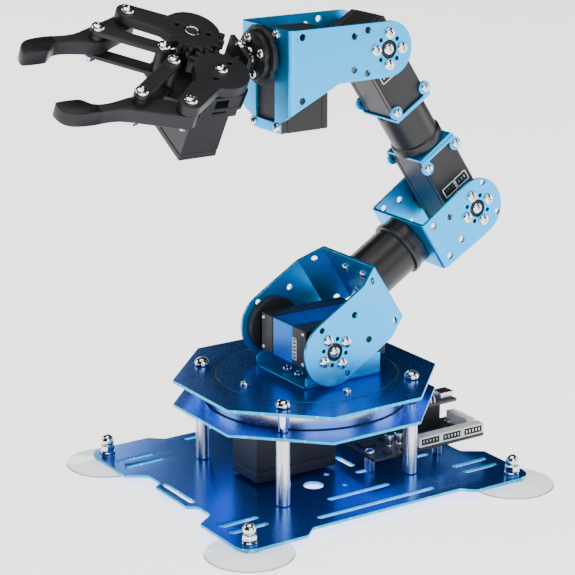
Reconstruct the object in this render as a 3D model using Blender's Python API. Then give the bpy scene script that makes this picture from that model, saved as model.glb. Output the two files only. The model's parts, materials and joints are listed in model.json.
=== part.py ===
"""Desktop robot arm: suction-foot base, turntable, two-link arm, rolling wrist and a geared gripper.

Every dimension below is in millimetres and degrees; shapes are built in metres. Each moving body
hangs from an empty that lies on its joint axis, and each link's local +X runs along the link
towards the next joint.
"""
import math

import bmesh
import bpy
from mathutils import Matrix, Vector, geometry

MM = 0.001
GAP = 0.3            # clearance between pieces that touch
PLATE_T = 2.0        # base plate and deck sheet
SHEET_T = 1.8        # bracket sheet
HOLE_SIDES = 10

# ---- overall placement: yaw axis relative to the centre of the whole arm's footprint
YAW_AXIS_X, YAW_AXIS_Y, PLATE_TOP_Z = 20.55, -2.6, 6.6

# ---- base
PLATE_CX, PLATE_CY = 3.0, 2.6
EAR_X, EAR_Y = 100.3, 88.7           # half sizes over the corner ears
WAIST_X, WAIST_Y = 88.5, 81.5        # half sizes between the ears
EAR_INNER_X, EAR_INNER_Y = 58.7, 43.0
EAR_CHAMFER = 8.0
TAB_X, TAB_Y, TAB_CHAMFER = 94.0, 21.5, 4.0
EAR_R = 9.0
FOOT_X, FOOT_Y = 91.2, 79.9
CUP_R, CUP_DROP = 25.0, 6.6
SLOT_W = 3.6
BOARD_POSTS = ((26.6, -28.2), (77.0, -27.5))
STANDOFF_X, STANDOFF_Y, STANDOFF_R = 44.5, 43.8, 4.1
SHANK_R, SPACER_R = 1.65, 2.9        # deck screw, and its shoulder between the decks
DECK_APOTHEM = 72.5
LOWER_DECK_TOP, UPPER_DECK_TOP = 44.1, 58.6
DRUM_R, DRUM_WALL = 59.0, 4.5
DISC_R = 53.1
DISC_HOLE_R = 54.2
HUB_R = 30.0
BASE_SERVO = (-42.5, 12.5, 13.6)     # x from, x to, half width

# ---- servos: case from the shaft to the near end and to the far end, half width, half height
CASE_NEAR, CASE_FAR = 13.0, 43.5
CASE_HALF_W, CASE_HALF_H = 12.2, 16.0
BOSS_R, HORN_R = 7.0, 11.0
EAR_SCREW_AT, EAR_SCREW_W = 39.0, 11.6

# ---- turntable bracket and shoulder
TURN_BRACKET = (-17.5, 34.6, 25.0)   # x from, x to, half width
SHOULDER_X, SHOULDER_Z = -3.0, 80.6
SHOULDER_HALF = 34.3
SHOULDER_SERVO_HALF = 23.2
LINK1_TILT, LINK1_LEN = 32.0, 127.1
LINK2_TILT, LINK2_LEN = 123.3, 120.5
HAND_TILT = 180.0
HAND_ROLL = 30.4
ELBOW_HALF, WRIST_HALF = 25.5, 25.2
WRIST_PLATE_AT = 66.2
HAND_AT = 103.2                      # wrist axis to the line through the two gear centres

# ---- gripper
GEAR_PITCH_R, GEAR_TEETH = 17.3, 18
GEAR_SECTOR_TEETH = 3                # teeth kept on each side of the centre line
ARM_LEN, ARM_ANGLE = 36.5, 35.0
INNER_AHEAD, INNER_SIDE = 23.6, 6.0
GEAR_TOP, GEAR_T = 4.65, 6.0
FINGER_T, BAR_T = 9.0, 2.5
PIVOT_R = 1.95
GRIP_SIDE = -3.5                     # gear pair's middle beside the roll axis
GRIP_SERVO = (-9.8, 14.2, -22.5, 24.3, -52.5, -16.6)


# ------------------------------------------------------------------ scene helpers
def clear_scene():
    for obj in list(bpy.data.objects):
        bpy.data.objects.remove(obj, do_unlink=True)


def make_material(name, rgb, roughness, metallic, alpha=1.0):
    mat = bpy.data.materials.new(name)
    mat.use_nodes = True
    shader = mat.node_tree.nodes["Principled BSDF"]
    shader.inputs["Base Color"].default_value = (*rgb, 1.0)
    shader.inputs["Roughness"].default_value = roughness
    shader.inputs["Metallic"].default_value = metallic
    shader.inputs["Alpha"].default_value = alpha
    return mat


FINISHES = {
    "blue": ((0.02, 0.33, 0.72), 0.32, 0.75),
    "black": ((0.035, 0.035, 0.038), 0.45, 0.0),
    "satin_black": ((0.04, 0.04, 0.042), 0.35, 0.4),
    "steel": ((0.75, 0.75, 0.77), 0.18, 1.0),
    "silver": ((0.7, 0.71, 0.73), 0.3, 1.0),
    "clear": ((0.92, 0.93, 0.95), 0.08, 0.0, 0.35),
    "board": ((0.02, 0.022, 0.022), 0.5, 0.0),
    "cream": ((0.85, 0.84, 0.8), 0.45, 0.0),
}


def make_empty(name, parent, location, rotation=(0, 0, 0)):
    empty = bpy.data.objects.new(name, None)
    bpy.context.scene.collection.objects.link(empty)
    empty.parent = parent
    empty.location = Vector(location) * MM
    empty.rotation_euler = [math.radians(a) for a in rotation]
    return empty


def make_object(name, bm, smooth=True):
    bmesh.ops.recalc_face_normals(bm, faces=bm.faces)
    mesh = bpy.data.meshes.new(name)
    bm.to_mesh(mesh)
    bm.free()
    mesh.transform(Matrix.Scale(MM, 4))
    obj = bpy.data.objects.new(name, mesh)
    bpy.context.scene.collection.objects.link(obj)
    if smooth:
        mesh.shade_smooth()
        mesh.set_sharp_from_angle(angle=math.radians(35))
    return obj


def finish(obj, name, parent, finish_name):
    obj.name = name
    obj.data.name = name
    obj.parent = parent
    obj.data.materials.clear()
    obj.data.materials.append(make_material(name + "_finish", *FINISHES[finish_name]))
    return obj


def combine(base, adds=(), cuts=()):
    """Joins and cuts whole solids, and leaves one plain mesh."""
    for tool, how in [(t, "UNION") for t in adds] + [(t, "DIFFERENCE") for t in cuts]:
        mod = base.modifiers.new(how.lower(), "BOOLEAN")
        mod.operation = how
        mod.object = tool
    depsgraph = bpy.context.evaluated_depsgraph_get()
    depsgraph.update()
    mesh = bpy.data.meshes.new_from_object(base.evaluated_get(depsgraph))
    base.modifiers.clear()
    base.data = mesh
    for tool in list(adds) + list(cuts):
        bpy.data.objects.remove(tool, do_unlink=True)
    mesh.shade_smooth()
    mesh.set_sharp_from_angle(angle=math.radians(35))
    return base


# ------------------------------------------------------------------ shape helpers
XY = Matrix.Identity(4)
XZ = Matrix(((1, 0, 0, 0), (0, 0, 1, 0), (0, 1, 0, 0), (0, 0, 0, 1)))  # outline in X and Z, depth along Y
YZ = Matrix(((0, 0, 1, 0), (1, 0, 0, 0), (0, 1, 0, 0), (0, 0, 0, 1)))  # outline in Y and Z, depth along X


def circle(cx, cy, r, sides=HOLE_SIDES, start=0.0):
    return [(cx + r * math.cos(start + 2 * math.pi * i / sides),
             cy + r * math.sin(start + 2 * math.pi * i / sides)) for i in range(sides)]


def arc(cx, cy, r, a0, a1, steps):
    return [(cx + r * math.cos(math.radians(a0 + (a1 - a0) * i / steps)),
             cy + r * math.sin(math.radians(a0 + (a1 - a0) * i / steps))) for i in range(steps + 1)]


def slot(cx, cy, length, width, angle=0.0):
    half = (length - width) / 2
    c, s = math.cos(math.radians(angle)), math.sin(math.radians(angle))
    ends = arc(half, 0, width / 2, -90, 90, 4) + arc(-half, 0, width / 2, 90, 270, 4)
    return [(cx + c * x - s * y, cy + s * x + c * y) for x, y in ends]


def slab(name, outline, holes, z0, z1, plane=XY):
    """A flat plate: an outline with holes, from depth z0 to depth z1 of the given plane."""
    loops = [outline] + list(holes)
    triangles = geometry.tessellate_polygon([[Vector((x, y, 0)) for x, y in loop] for loop in loops])
    flat = [p for loop in loops for p in loop]
    bm = bmesh.new()
    low = [bm.verts.new(plane @ Vector((x, y, z0))) for x, y in flat]
    high = [bm.verts.new(plane @ Vector((x, y, z1))) for x, y in flat]
    for a, b, c in triangles:
        bm.faces.new((high[a], high[b], high[c]))
        bm.faces.new((low[c], low[b], low[a]))
    start = 0
    for loop in loops:
        n = len(loop)
        for i in range(n):
            a, b = start + i, start + (i + 1) % n
            bm.faces.new((low[a], low[b], high[b], high[a]))
        start += n
    return make_object(name, bm)


def turned(name, profile, sides=28, axis="Z", at=(0, 0, 0)):
    """A solid of revolution. profile is a closed loop of (radius, height); radius 0 lies on the axis."""
    bm = bmesh.new()
    rings = []
    for r, h in profile:
        if r <= 1e-6:
            rings.append([bm.verts.new((0, 0, h))])
        else:
            rings.append([bm.verts.new((x, y, h)) for x, y in circle(0, 0, r, sides)])
    pairs = list(zip(rings, rings[1:]))
    if len(rings[0]) > 1 or len(rings[-1]) > 1:
        pairs.append((rings[-1], rings[0]))
    for lower, upper in pairs:
        for i in range(sides):
            j = (i + 1) % sides
            low_pair = [lower[i % len(lower)], lower[j % len(lower)]]
            high_pair = [upper[j % len(upper)], upper[i % len(upper)]]
            corners = list(dict.fromkeys(low_pair + high_pair))
            if len(corners) > 2:
                bm.faces.new(corners)
    if axis == "X":
        bmesh.ops.rotate(bm, verts=bm.verts, matrix=Matrix.Rotation(math.pi / 2, 3, "Y"))
    elif axis == "Y":
        bmesh.ops.rotate(bm, verts=bm.verts, matrix=Matrix.Rotation(-math.pi / 2, 3, "X"))
    bmesh.ops.translate(bm, verts=bm.verts, vec=Vector(at))
    return make_object(name, bm)


def disc(name, r, h0, h1, sides=28, axis="Z", at=(0, 0, 0)):
    return turned(name, [(0, h0), (r, h0), (r, h1), (0, h1)], sides, axis, at)


def ring(name, r_in, r_out, h0, h1, sides=28, axis="Z", at=(0, 0, 0)):
    return turned(name, [(r_in, h0), (r_out, h0), (r_out, h1), (r_in, h1)], sides, axis, at)


def block(name, low, high, bevel=0.0):
    bm = bmesh.new()
    bmesh.ops.create_cube(bm, size=1.0)
    size = [h - l for l, h in zip(low, high)]
    centre = [(h + l) / 2 for l, h in zip(low, high)]
    bmesh.ops.scale(bm, verts=bm.verts, vec=size)
    bmesh.ops.translate(bm, verts=bm.verts, vec=centre)
    if bevel:
        bmesh.ops.bevel(bm, geom=bm.edges, offset=bevel, segments=1, profile=0.5, affect="EDGES")
    return make_object(name, bm)


# ------------------------------------------------------------------ base
def base_plate_outline():
    """One quarter of the plate, mirrored into the other three."""
    quarter = [(TAB_X, 0), (TAB_X, TAB_Y - TAB_CHAMFER), (WAIST_X, TAB_Y),
               (WAIST_X, EAR_INNER_Y - EAR_CHAMFER), (EAR_X, EAR_INNER_Y)]
    quarter += arc(EAR_X - EAR_R, EAR_Y - EAR_R, EAR_R, 0, 90, 5)
    quarter += [(EAR_INNER_X, EAR_Y), (EAR_INNER_X - EAR_CHAMFER, WAIST_Y), (0, WAIST_Y)]
    points = list(quarter)
    points += [(-x, y) for x, y in reversed(quarter[:-1])]
    points += [(-x, -y) for x, y in quarter[1:]]
    points += [(x, -y) for x, y in reversed(quarter[1:-1])]
    return [(x + PLATE_CX, y + PLATE_CY) for x, y in points]


def build_base_plate(parent):
    holes = []
    for sx in (-1, 1):
        for sy in (-1, 1):
            holes.append(circle(PLATE_CX + sx * FOOT_X, PLATE_CY + sy * FOOT_Y, 2.4))
            ear_slot_x = PLATE_CX + sx * 80.8
            holes.append(slot(ear_slot_x, PLATE_CY + sy * 52.8, 25.0, SLOT_W))
            holes.append(slot(ear_slot_x, PLATE_CY + sy * 63.2, 25.0, SLOT_W))
    for sx in (-1, 1):
        holes.append(slot(PLATE_CX + sx * 87.8, PLATE_CY + 1.7, 34.0, SLOT_W, 90))
    holes.append(slot(2.7, -51.0, 43.0, SLOT_W))
    holes.append(slot(2.1, -69.5, 81.0, SLOT_W))
    holes.append(slot(23.0, -7.8, 18.0, SLOT_W, 90))
    holes.append(slot(23.2, -26.3, 10.0, SLOT_W))
    holes.append(slot(66.0, -25.2, 12.0, SLOT_W))
    holes.append(slot(-32.0, 76.5, 12.0, SLOT_W))
    holes.append(circle(-13.4, -28.4, 5.8, 20))
    holes.append(circle(2.3, -18.9, 1.7))
    holes.append(circle(2.0, -38.2, 1.7))
    plate = slab("base_plate", base_plate_outline(), holes, -PLATE_T, 0)
    return finish(plate, "base_plate", parent, "blue")


def build_feet(parent):
    corners = (("front_left", -1, -1), ("front_right", 1, -1), ("back_left", -1, 1), ("back_right", 1, 1))
    for name, sx, sy in corners:
        at = (PLATE_CX + sx * FOOT_X, PLATE_CY + sy * FOOT_Y, 0)
        under = -PLATE_T - GAP
        cup = turned("cup", [(0, -CUP_DROP), (CUP_R, -CUP_DROP), (CUP_R, -CUP_DROP + 0.6), (14, -4.2),
                             (7.0, under), (2.0, under), (2.0, 5.5), (0, 5.5)], 32, at=at)
        finish(cup, "suction_cup_" + name, parent, "clear")
        nut = turned("nut", [(2.3, GAP), (4.6, GAP), (4.6, 5.2), (4.0, 5.8), (4.0, 7.8), (2.9, 10.4),
                             (0, 11.7), (0, 6.0), (2.3, 6.0)], 14, at=at)
        finish(nut, "foot_nut_" + name, parent, "steel")


def octagon(apothem):
    corner = apothem * math.tan(math.pi / 8)
    turns = [(apothem, -corner), (apothem, corner)]
    points = []
    for quarter in range(4):
        for x, y in turns:
            c, s = math.cos(quarter * math.pi / 2), math.sin(quarter * math.pi / 2)
            points.append((c * x - s * y, s * x + c * y))
    return points


def build_decks(parent):
    posts = [(sx * STANDOFF_X, sy * STANDOFF_Y) for sx in (-1, 1) for sy in (-1, 1)]
    shank_holes = [circle(x, y, SHANK_R + GAP) for x, y in posts]
    lower = slab("lower", octagon(DECK_APOTHEM), shank_holes + [circle(0, 0, 10.0, 20)],
                 LOWER_DECK_TOP - PLATE_T, LOWER_DECK_TOP)
    finish(lower, "lower_deck", parent, "blue")
    upper = slab("upper", octagon(DECK_APOTHEM), shank_holes + [circle(0, 0, DISC_HOLE_R, 64)],
                 UPPER_DECK_TOP - PLATE_T, UPPER_DECK_TOP)
    finish(upper, "upper_deck", parent, "blue")
    for name, (x, y) in zip(("front_left", "back_left", "front_right", "back_right"), posts):
        top = LOWER_DECK_TOP - PLATE_T - GAP
        bore = SHANK_R + GAP
        post = turned("post", [(0, GAP), (STANDOFF_R, GAP), (STANDOFF_R, top), (bore, top), (bore, top - 8),
                               (0, top - 8)], 16, at=(x, y, 0))
        finish(post, "standoff_" + name, parent, "silver")
        head = UPPER_DECK_TOP + GAP
        seat, under = LOWER_DECK_TOP + GAP, UPPER_DECK_TOP - PLATE_T - GAP
        screw = turned("screw", [(0, top - 6), (SHANK_R, top - 6), (SHANK_R, seat), (SPACER_R, seat),
                                 (SPACER_R, under), (SHANK_R, under), (SHANK_R, head), (4.4, head),
                                 (4.4, head + 1.0), (3.3, head + 3.6), (0, head + 4.6)], 16, at=(x, y, 0))
        finish(screw, "deck_screw_" + name, parent, "steel")
    drum = ring("drum", DRUM_R - DRUM_WALL, DRUM_R, LOWER_DECK_TOP + GAP, UPPER_DECK_TOP - PLATE_T - GAP, 56)
    finish(drum, "bearing_drum", parent, "silver")


def build_base_servo(parent):
    x0, x1, half = BASE_SERVO
    case = block("case", (x0, -half, 1.7), (x1, half, LOWER_DECK_TOP - PLATE_T - GAP), 1.0)
    shaft = turned("shaft", [(0, 36), (8.0, 36), (8.0, 46.0), (3.0, 46.0), (3.0, 51.5), (0, 51.5)], 20)
    finish(combine(case, adds=[shaft]), "base_servo", parent, "black")


def build_controller(parent):
    board_z = 9.2
    board = block("pcb", (23.0, -38.5, board_z), (104.5, -3.0, board_z + 1.6))
    holes = [disc("h", 1.7, board_z - 1, board_z + 3, 10, at=(x, y, 0)) for x, y in BOARD_POSTS]
    finish(combine(board, cuts=holes), "controller_board", parent, "board")
    for i, (x, y) in enumerate(BOARD_POSTS):
        seat, head = board_z - GAP, board_z + 2.0
        post = turned("post", [(0, GAP), (3.2, GAP), (3.2, seat), (1.4, seat), (1.4, head), (2.8, head),
                               (2.8, head + 1.6), (1.8, head + 2.4), (0, head + 2.4)], 14, at=(x, y, 0))
        finish(post, "board_standoff_%d" % (i + 1), parent, "silver")
    top = board_z + 1.6 + GAP
    ports = block("ports", (55.4, -38.3, top), (103.7, -31.8, top + 6.2))
    mouths = []
    for i in range(3):
        x0 = 57.0 + i * 16.0
        mouths.append(block("mouth", (x0, -39.0, top + 1.2), (x0 + 13.4, -33.6, top + 5.0)))
    finish(combine(ports, cuts=mouths), "servo_ports", parent, "cream")
    inlet = block("inlet", (97.5, -29.5, top), (104.0, -9.5, top + 7.0))
    finish(combine(inlet, cuts=[block("m", (100.5, -28.0, top + 1.5), (105, -11.0, top + 5.5))]),
           "power_inlet", parent, "cream")
    riser = block("riser", (72.5, -15.2, top), (88.5, -11.2, top + 16.0))
    card = block("card", (72.5, -19.0, top + 15.6), (98.5, -4.0, top + 17.2))
    finish(combine(riser, adds=[card]), "radio_card", parent, "board")


# ------------------------------------------------------------------ turntable and shoulder
def build_turntable(parent):
    plate = disc("disc", DISC_R, UPPER_DECK_TOP - PLATE_T, UPPER_DECK_TOP, 64)
    finish(plate, "turntable_disc", parent, "blue")
    hub_top = UPPER_DECK_TOP - PLATE_T - GAP
    hub = turned("hub", [(3.3, 47.0), (HUB_R, 47.0), (HUB_R, 51.0), (DRUM_R - DRUM_WALL - 1.0, 53.4),
                         (DRUM_R - DRUM_WALL - 1.0, hub_top), (0, hub_top), (0, 52.0), (3.3, 52.0)], 40)
    finish(hub, "turntable_hub", parent, "silver")
    x0, x1, half = TURN_BRACKET
    z0 = UPPER_DECK_TOP + GAP
    floor = block("floor", (x0, -half, z0), (x1, half, z0 + 1.5))
    wall = [(x0, z0), (x1, z0), (x1, z0 + 13.2), (x0 + 12, z0 + 13.2), (x0, z0 + 5.5)]
    sides = [slab("side", wall, [], y - 0.75, y + 0.75, XZ) for y in (-half + 0.75, half - 0.75)]
    finish(combine(floor, adds=sides), "turntable_bracket", parent, "blue")


def build_shoulder_servo(parent):
    """A double-shaft servo lying across the bracket: two plastic end cases on a metal middle."""
    x0, x1 = SHOULDER_X - 12.6, SHOULDER_X + 43.4
    z0, z1 = SHOULDER_Z - 11.8, SHOULDER_Z + 11.4
    splits = [-SHOULDER_SERVO_HALF, -9.5, 11.3, SHOULDER_SERVO_HALF]
    names = (("shoulder_servo_front_case", "black"), ("shoulder_servo_middle", "blue"),
             ("shoulder_servo_rear_case", "black"))
    for (name, look), y0, y1 in zip(names, splits, splits[1:]):
        case = block("case", (x0, y0 + GAP / 2, z0), (x1, y1 - GAP / 2, z1), 0.7)
        if look == "black":
            out = -1 if y0 < 0 else 1
            h = sorted((out * (SHOULDER_SERVO_HALF - 3), out * (SHOULDER_SERVO_HALF + 3.2)))
            case = combine(case, adds=[disc("b", 8.0, h[0], h[1], 20, "Y", (SHOULDER_X, 0, SHOULDER_Z))])
        finish(case, name, parent, look)


def build_horn(name, parent, inner, outer, radius, side):
    """A servo horn between a case boss and a cheek; it turns with the cheek."""
    h = sorted((side * inner, side * outer))
    finish(disc("horn", radius, h[0], h[1], 28, "Y"), name, parent, "black")


def round_end_outline(radius, back, half_back, taper_from, steps=12):
    """A cheek: a round end about the axis and straight sides to its back edge."""
    sides = [(taper_from, -radius), (back, -half_back), (back, half_back), (taper_from, radius)]
    return arc(0, 0, radius, 90, 270, steps) + sides


def build_cheeks(half, outline, holes, bore):
    """Two mirrored cheeks of SHEET_T, outer faces half a bracket's width from the middle."""
    loops = [circle(x, z, r) for x, z, r in holes] + [circle(0, 0, bore, 20)]
    return [slab("cheek", outline, loops, y, y + SHEET_T, XZ) for y in (-half, half - SHEET_T)]


def build_shoulder_bracket(parent):
    """Straight cheeks folded inwards to a narrower end plate that carries the tube."""
    fold, end, end_half = 35.5, 51.5, 26.0
    side = 19.8
    holes = [(21.9, 9.6, 1.9), (21.9, -9.6, 1.9), (0, 16.7, 1.7), (0, -16.7, 1.7)]
    near, far = build_cheeks(SHOULDER_HALF, round_end_outline(20.3, fold, side, 8.0), holes, 5.2)
    adds = [far]
    for s in (-1, 1):
        outer_a, outer_b = s * SHOULDER_HALF, s * end_half
        inner_a, inner_b = s * (SHOULDER_HALF - SHEET_T), s * (end_half - SHEET_T)
        near_x, far_x = fold - 0.5, end - 0.6
        corners = [(near_x, outer_a), (far_x, outer_b), (far_x, inner_b), (near_x, inner_a)]
        taper = slab("taper", corners, [], -side, side, XY)
        for z in (-15.6, 15.6):
            bore = disc("bore", 1.9, -8, 8, HOLE_SIDES, "Y", ((fold + end) / 2, (outer_a + inner_b) / 2, z))
            taper = combine(taper, cuts=[bore])
        adds.append(taper)
    plate = block("plate", (end - SHEET_T, -end_half, -side), (end, end_half, side))
    for x, y in ((-9, 9), (9, 9), (-9, -9), (9, -9)):
        plate = combine(plate, cuts=[disc("bolt", 1.7, end - 5, end + 5, HOLE_SIDES, "X", (0, y, x))])
    adds.append(plate)
    finish(combine(near, adds=adds), "shoulder_bracket", parent, "blue")


def build_tube(name, parent, profile):
    """A flanged tube along the link. profile lists (distance, outer radius); the bore runs right through."""
    bore = 12.5
    loop = [(bore, profile[0][0])] + [(r, x) for x, r in profile] + [(bore, profile[-1][0])]
    finish(turned("tube", loop, 36, "X"), name, parent, "satin_black")


def build_elbow_bracket(parent):
    """A plain U: cheeks about the elbow axis and a back plate on the upper-arm tube.
    It is built pointing back along the link."""
    back, half_back = 37.4, 16.6
    outline = round_end_outline(18.0, back, half_back, 6.0)
    holes = [(18.6, 8.8, 1.9), (18.6, -8.8, 1.9), (30.4, 11.8, 1.9), (30.4, -11.8, 1.9), (-10.9, 11.2, 1.7),
             (-10.9, -11.2, 1.7)]
    near, far = build_cheeks(ELBOW_HALF, outline, holes, 5.2)
    plate = block("plate", (back - SHEET_T, -ELBOW_HALF, -half_back), (back, ELBOW_HALF, half_back))
    for y, z in ((-9, 9), (9, 9), (-9, -9), (9, -9)):
        plate = combine(plate, cuts=[disc("bolt", 1.7, back - 5, back + 5, HOLE_SIDES, "X", (0, y, z))])
    bracket = combine(near, adds=[far, plate])
    bracket.data.transform(Matrix.Rotation(math.pi, 4, "Y"))
    finish(bracket, "elbow_bracket", parent, "blue")
    bracket.location = (LINK1_LEN * MM, 0, 0)


# ------------------------------------------------------------------ servos of the forearm
def build_servo(name, parent, flip=False, at=(0, 0, 0), double=True):
    """A box servo. Its shaft lies on the local axis, its case runs from -CASE_NEAR to +CASE_FAR."""
    x0, x1 = (-CASE_FAR, CASE_NEAR) if flip else (-CASE_NEAR, CASE_FAR)
    case = block("case", (x0, -CASE_HALF_H, -CASE_HALF_W), (x1, CASE_HALF_H, CASE_HALF_W), 1.2)
    bosses = []
    for side in ((-1, 1) if double else (-1,)):
        h = sorted((side * (CASE_HALF_H - 3), side * (CASE_HALF_H + 3.6)))
        bosses.append(disc("boss", BOSS_R, h[0], h[1], 18, "Y"))
    case = combine(case, adds=bosses)
    finish(case, name, parent, "black")
    case.location = Vector(at) * MM
    return case


def build_eared_bracket(name, parent, at, direction):
    """A shallow U over the end of a servo: a plate across the tube and an eared strip down each side."""
    strip_t, lobe_r, strip_half = 1.5, 4.0, 13.4
    plate_in, plate_out = CASE_FAR + GAP, CASE_FAR + GAP + PLATE_T
    y_in = CASE_HALF_H + GAP
    lobe = arc(EAR_SCREW_AT, EAR_SCREW_W, lobe_r, 27, 318, 12)
    outline = [(plate_out, -strip_half), (plate_out, strip_half)] + lobe
    outline += [(x, -z) for x, z in reversed(lobe)]
    holes = [circle(EAR_SCREW_AT, s * EAR_SCREW_W, 1.5) for s in (-1, 1)]
    plate = block("plate", (plate_in, -y_in - strip_t, -strip_half), (plate_out, y_in + strip_t, strip_half))
    strips = [slab("strip", outline, holes, y, y + strip_t, XZ) for y in (-y_in - strip_t, y_in)]
    bracket = combine(plate, adds=strips)
    if direction < 0:
        bracket.data.transform(Matrix.Rotation(math.pi, 4, "Y"))
    finish(bracket, name, parent, "blue")
    bracket.location = (at * MM, 0, 0)


# ------------------------------------------------------------------ wrist
def build_wrist_bracket(parent):
    """Long cheeks from the wrist axis to a front plate; the plate's tongue and window hold the roll servo.
    Local +Z points down when the hand is level."""
    r, end = 15.9, WRIST_PLATE_AT
    low, tongue, tongue_half = 31.6, 42.6, 14.0
    outline = arc(0, 0, r, 90, 270, 12) + [(end, -r), (end, low), (33.5, 16.2), (8.0, r)]
    holes = [(14.5, 12.0, 1.9), (14.5, -12.0, 1.9), (23.6, 9.3, 1.9), (23.6, -9.3, 1.9), (58.6, -11.8, 1.9),
             (58.6, 23.3, 1.9)]
    near, far = build_cheeks(WRIST_HALF, outline, holes, 5.2)
    left = [(-tongue_half, tongue), (-tongue_half, low + 5.0), (-WRIST_HALF, low - 1.0), (-WRIST_HALF, -r)]
    front = left + [(-y, z) for y, z in reversed(left)]
    window = [(-9.6, -10.8), (9.6, -10.8), (9.6, 36.5), (-9.6, 36.5)]
    screws = [circle(s * EAR_SCREW_W, z, 1.5) for s in (-1, 1) for z in (-11.6, EAR_SCREW_AT)]
    plate = slab("front", front, [window] + screws, end - SHEET_T, end, YZ)
    finish(combine(near, adds=[far, plate]), "wrist_bracket", parent, "blue")


def build_roll_servo(parent):
    front = WRIST_PLATE_AT - SHEET_T - GAP
    rear = front - 2 * CASE_HALF_H
    case = block("case", (rear, -CASE_HALF_W, -CASE_NEAR), (front, CASE_HALF_W, CASE_FAR), 1.2)
    boss = disc("boss", BOSS_R, front - 3, front + 3.4, 20, "X")
    finish(combine(case, adds=[boss]), "roll_servo", parent, "black")


def build_roll_coupling(parent):
    """Horn plate and hub that the roll servo turns. X is measured from the line of the gear centres."""
    horn_back = WRIST_PLATE_AT + 1.8 - HAND_AT
    horn_front = horn_back + 3.2
    horn = turned("horn", [(0, horn_back), (16.4, horn_back), (16.6, horn_back + 0.6), (16.6, horn_front),
                           (0, horn_front)], 36, "X")
    finish(horn, "roll_horn", parent, "satin_black")
    back = horn_front + GAP
    front = back + 3.4
    hub = turned("hub", [(0, back), (14.2, back), (14.2, front - 0.8), (13.4, front), (0, front)], 32, "X")
    finish(hub, "roll_hub", parent, "satin_black")


# ------------------------------------------------------------------ gripper
def gear_arm_outline(side, phase):
    """A toothed sector about the gear centre and an arm to the outer pivot.
    side is the direction of Y in which the arm opens; phase 0 puts a tooth on the centre line, 0.5 a gap."""
    pitch = 360.0 / GEAR_TEETH
    root, tip = GEAR_PITCH_R - 2.2, GEAR_PITCH_R + 1.6
    root_half, mid_half, tip_half = 1.62, 1.2, 0.62
    towards = -90.0 * side
    points = []
    count = GEAR_SECTOR_TEETH + (0.5 if phase else 0)
    k = -count
    rising = [(root, -root_half), (GEAR_PITCH_R, -mid_half), (tip, -tip_half)]
    profile = rising + [(radius, -half) for radius, half in reversed(rising)]
    while k <= count + 1e-6:
        centre = towards + side * k * pitch
        for radius, half in profile:
            angle = math.radians(centre) + side * math.atan2(half, radius)
            points.append((radius * math.cos(angle), radius * math.sin(angle)))
        k += 1
    # around the arm's end pivot and back over the plain rim
    tilt = math.radians(ARM_ANGLE)
    ux, uy = math.cos(tilt), side * math.sin(tilt)
    nx, ny = -math.sin(tilt), side * math.cos(tilt)
    end_r, root_w = 6.4, 7.0
    ex, ey = ARM_LEN * ux, ARM_LEN * uy
    points.append((15.0 * ux - root_w * nx, 15.0 * uy - root_w * ny))
    for i in range(9):
        a = -math.pi / 2 + math.pi * i / 8
        points.append((ex + end_r * (math.cos(a) * ux + math.sin(a) * nx),
                       ey + end_r * (math.cos(a) * uy + math.sin(a) * ny)))
    points.append((14.6 * ux + root_w * nx, 14.6 * uy + root_w * ny))
    first = math.degrees(math.atan2(14.6 * uy + root_w * ny, 14.6 * ux + root_w * nx)) * side
    last = 270.0 - (count * pitch + 9.0)
    steps = 9
    for i in range(1, steps + 1):
        a = math.radians(side * (first + (last - first) * i / steps))
        points.append((16.2 * math.cos(a), 16.2 * math.sin(a)))
    return points


def pivot_head(seat):
    """Profile of a pan head on a pivot pin, from its underside to its crown."""
    return [(PIVOT_R, seat), (3.7, seat), (3.7, seat + 0.8), (2.9, seat + 2.0), (0, seat + 2.5)]


def build_gear_arm(name, parent, side, phase, bore):
    tilt = math.radians(ARM_ANGLE)
    pivot = circle(ARM_LEN * math.cos(tilt), side * ARM_LEN * math.sin(tilt), 2.4)
    holes = [pivot, circle(0, 0, bore, 20)]
    for a in (0.75 * side, math.pi + 0.55 * side):
        holes.append(circle(9.0 * math.cos(a), 9.0 * math.sin(a), 1.4, 10))
    arm = slab("arm", gear_arm_outline(side, phase), holes, GEAR_TOP - GEAR_T, GEAR_TOP)
    finish(arm, name, parent, "satin_black")


def stadium(x0, y0, x1, y1, r, steps=7):
    angle = math.degrees(math.atan2(y1 - y0, x1 - x0))
    return arc(x1, y1, r, angle - 90, angle + 90, steps) + arc(x0, y0, r, angle + 90, angle + 270, steps)


def build_inner_link(name, parent, side):
    """Two bars joined by a sleeve that turns on the frame's pin."""
    tilt = math.radians(ARM_ANGLE)
    ex, ey = ARM_LEN * math.cos(tilt), side * ARM_LEN * math.sin(tilt)
    outline = stadium(0, 0, ex, ey, 4.0)
    finger_bottom = GEAR_TOP - GEAR_T - GAP - FINGER_T
    top = slab("top", outline, [circle(0, 0, 2.3), circle(ex, ey, 2.3)], GEAR_TOP - 3.0, GEAR_TOP)
    low_top = finger_bottom - GAP
    low = slab("low", outline, [circle(0, 0, 2.3), circle(ex, ey, 2.3)], low_top - BAR_T, low_top)
    sleeve = ring("sleeve", 2.3, 3.7, low_top - BAR_T, GEAR_TOP, 12)
    finish(combine(top, adds=[low, sleeve]), name, parent, "satin_black")


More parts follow.
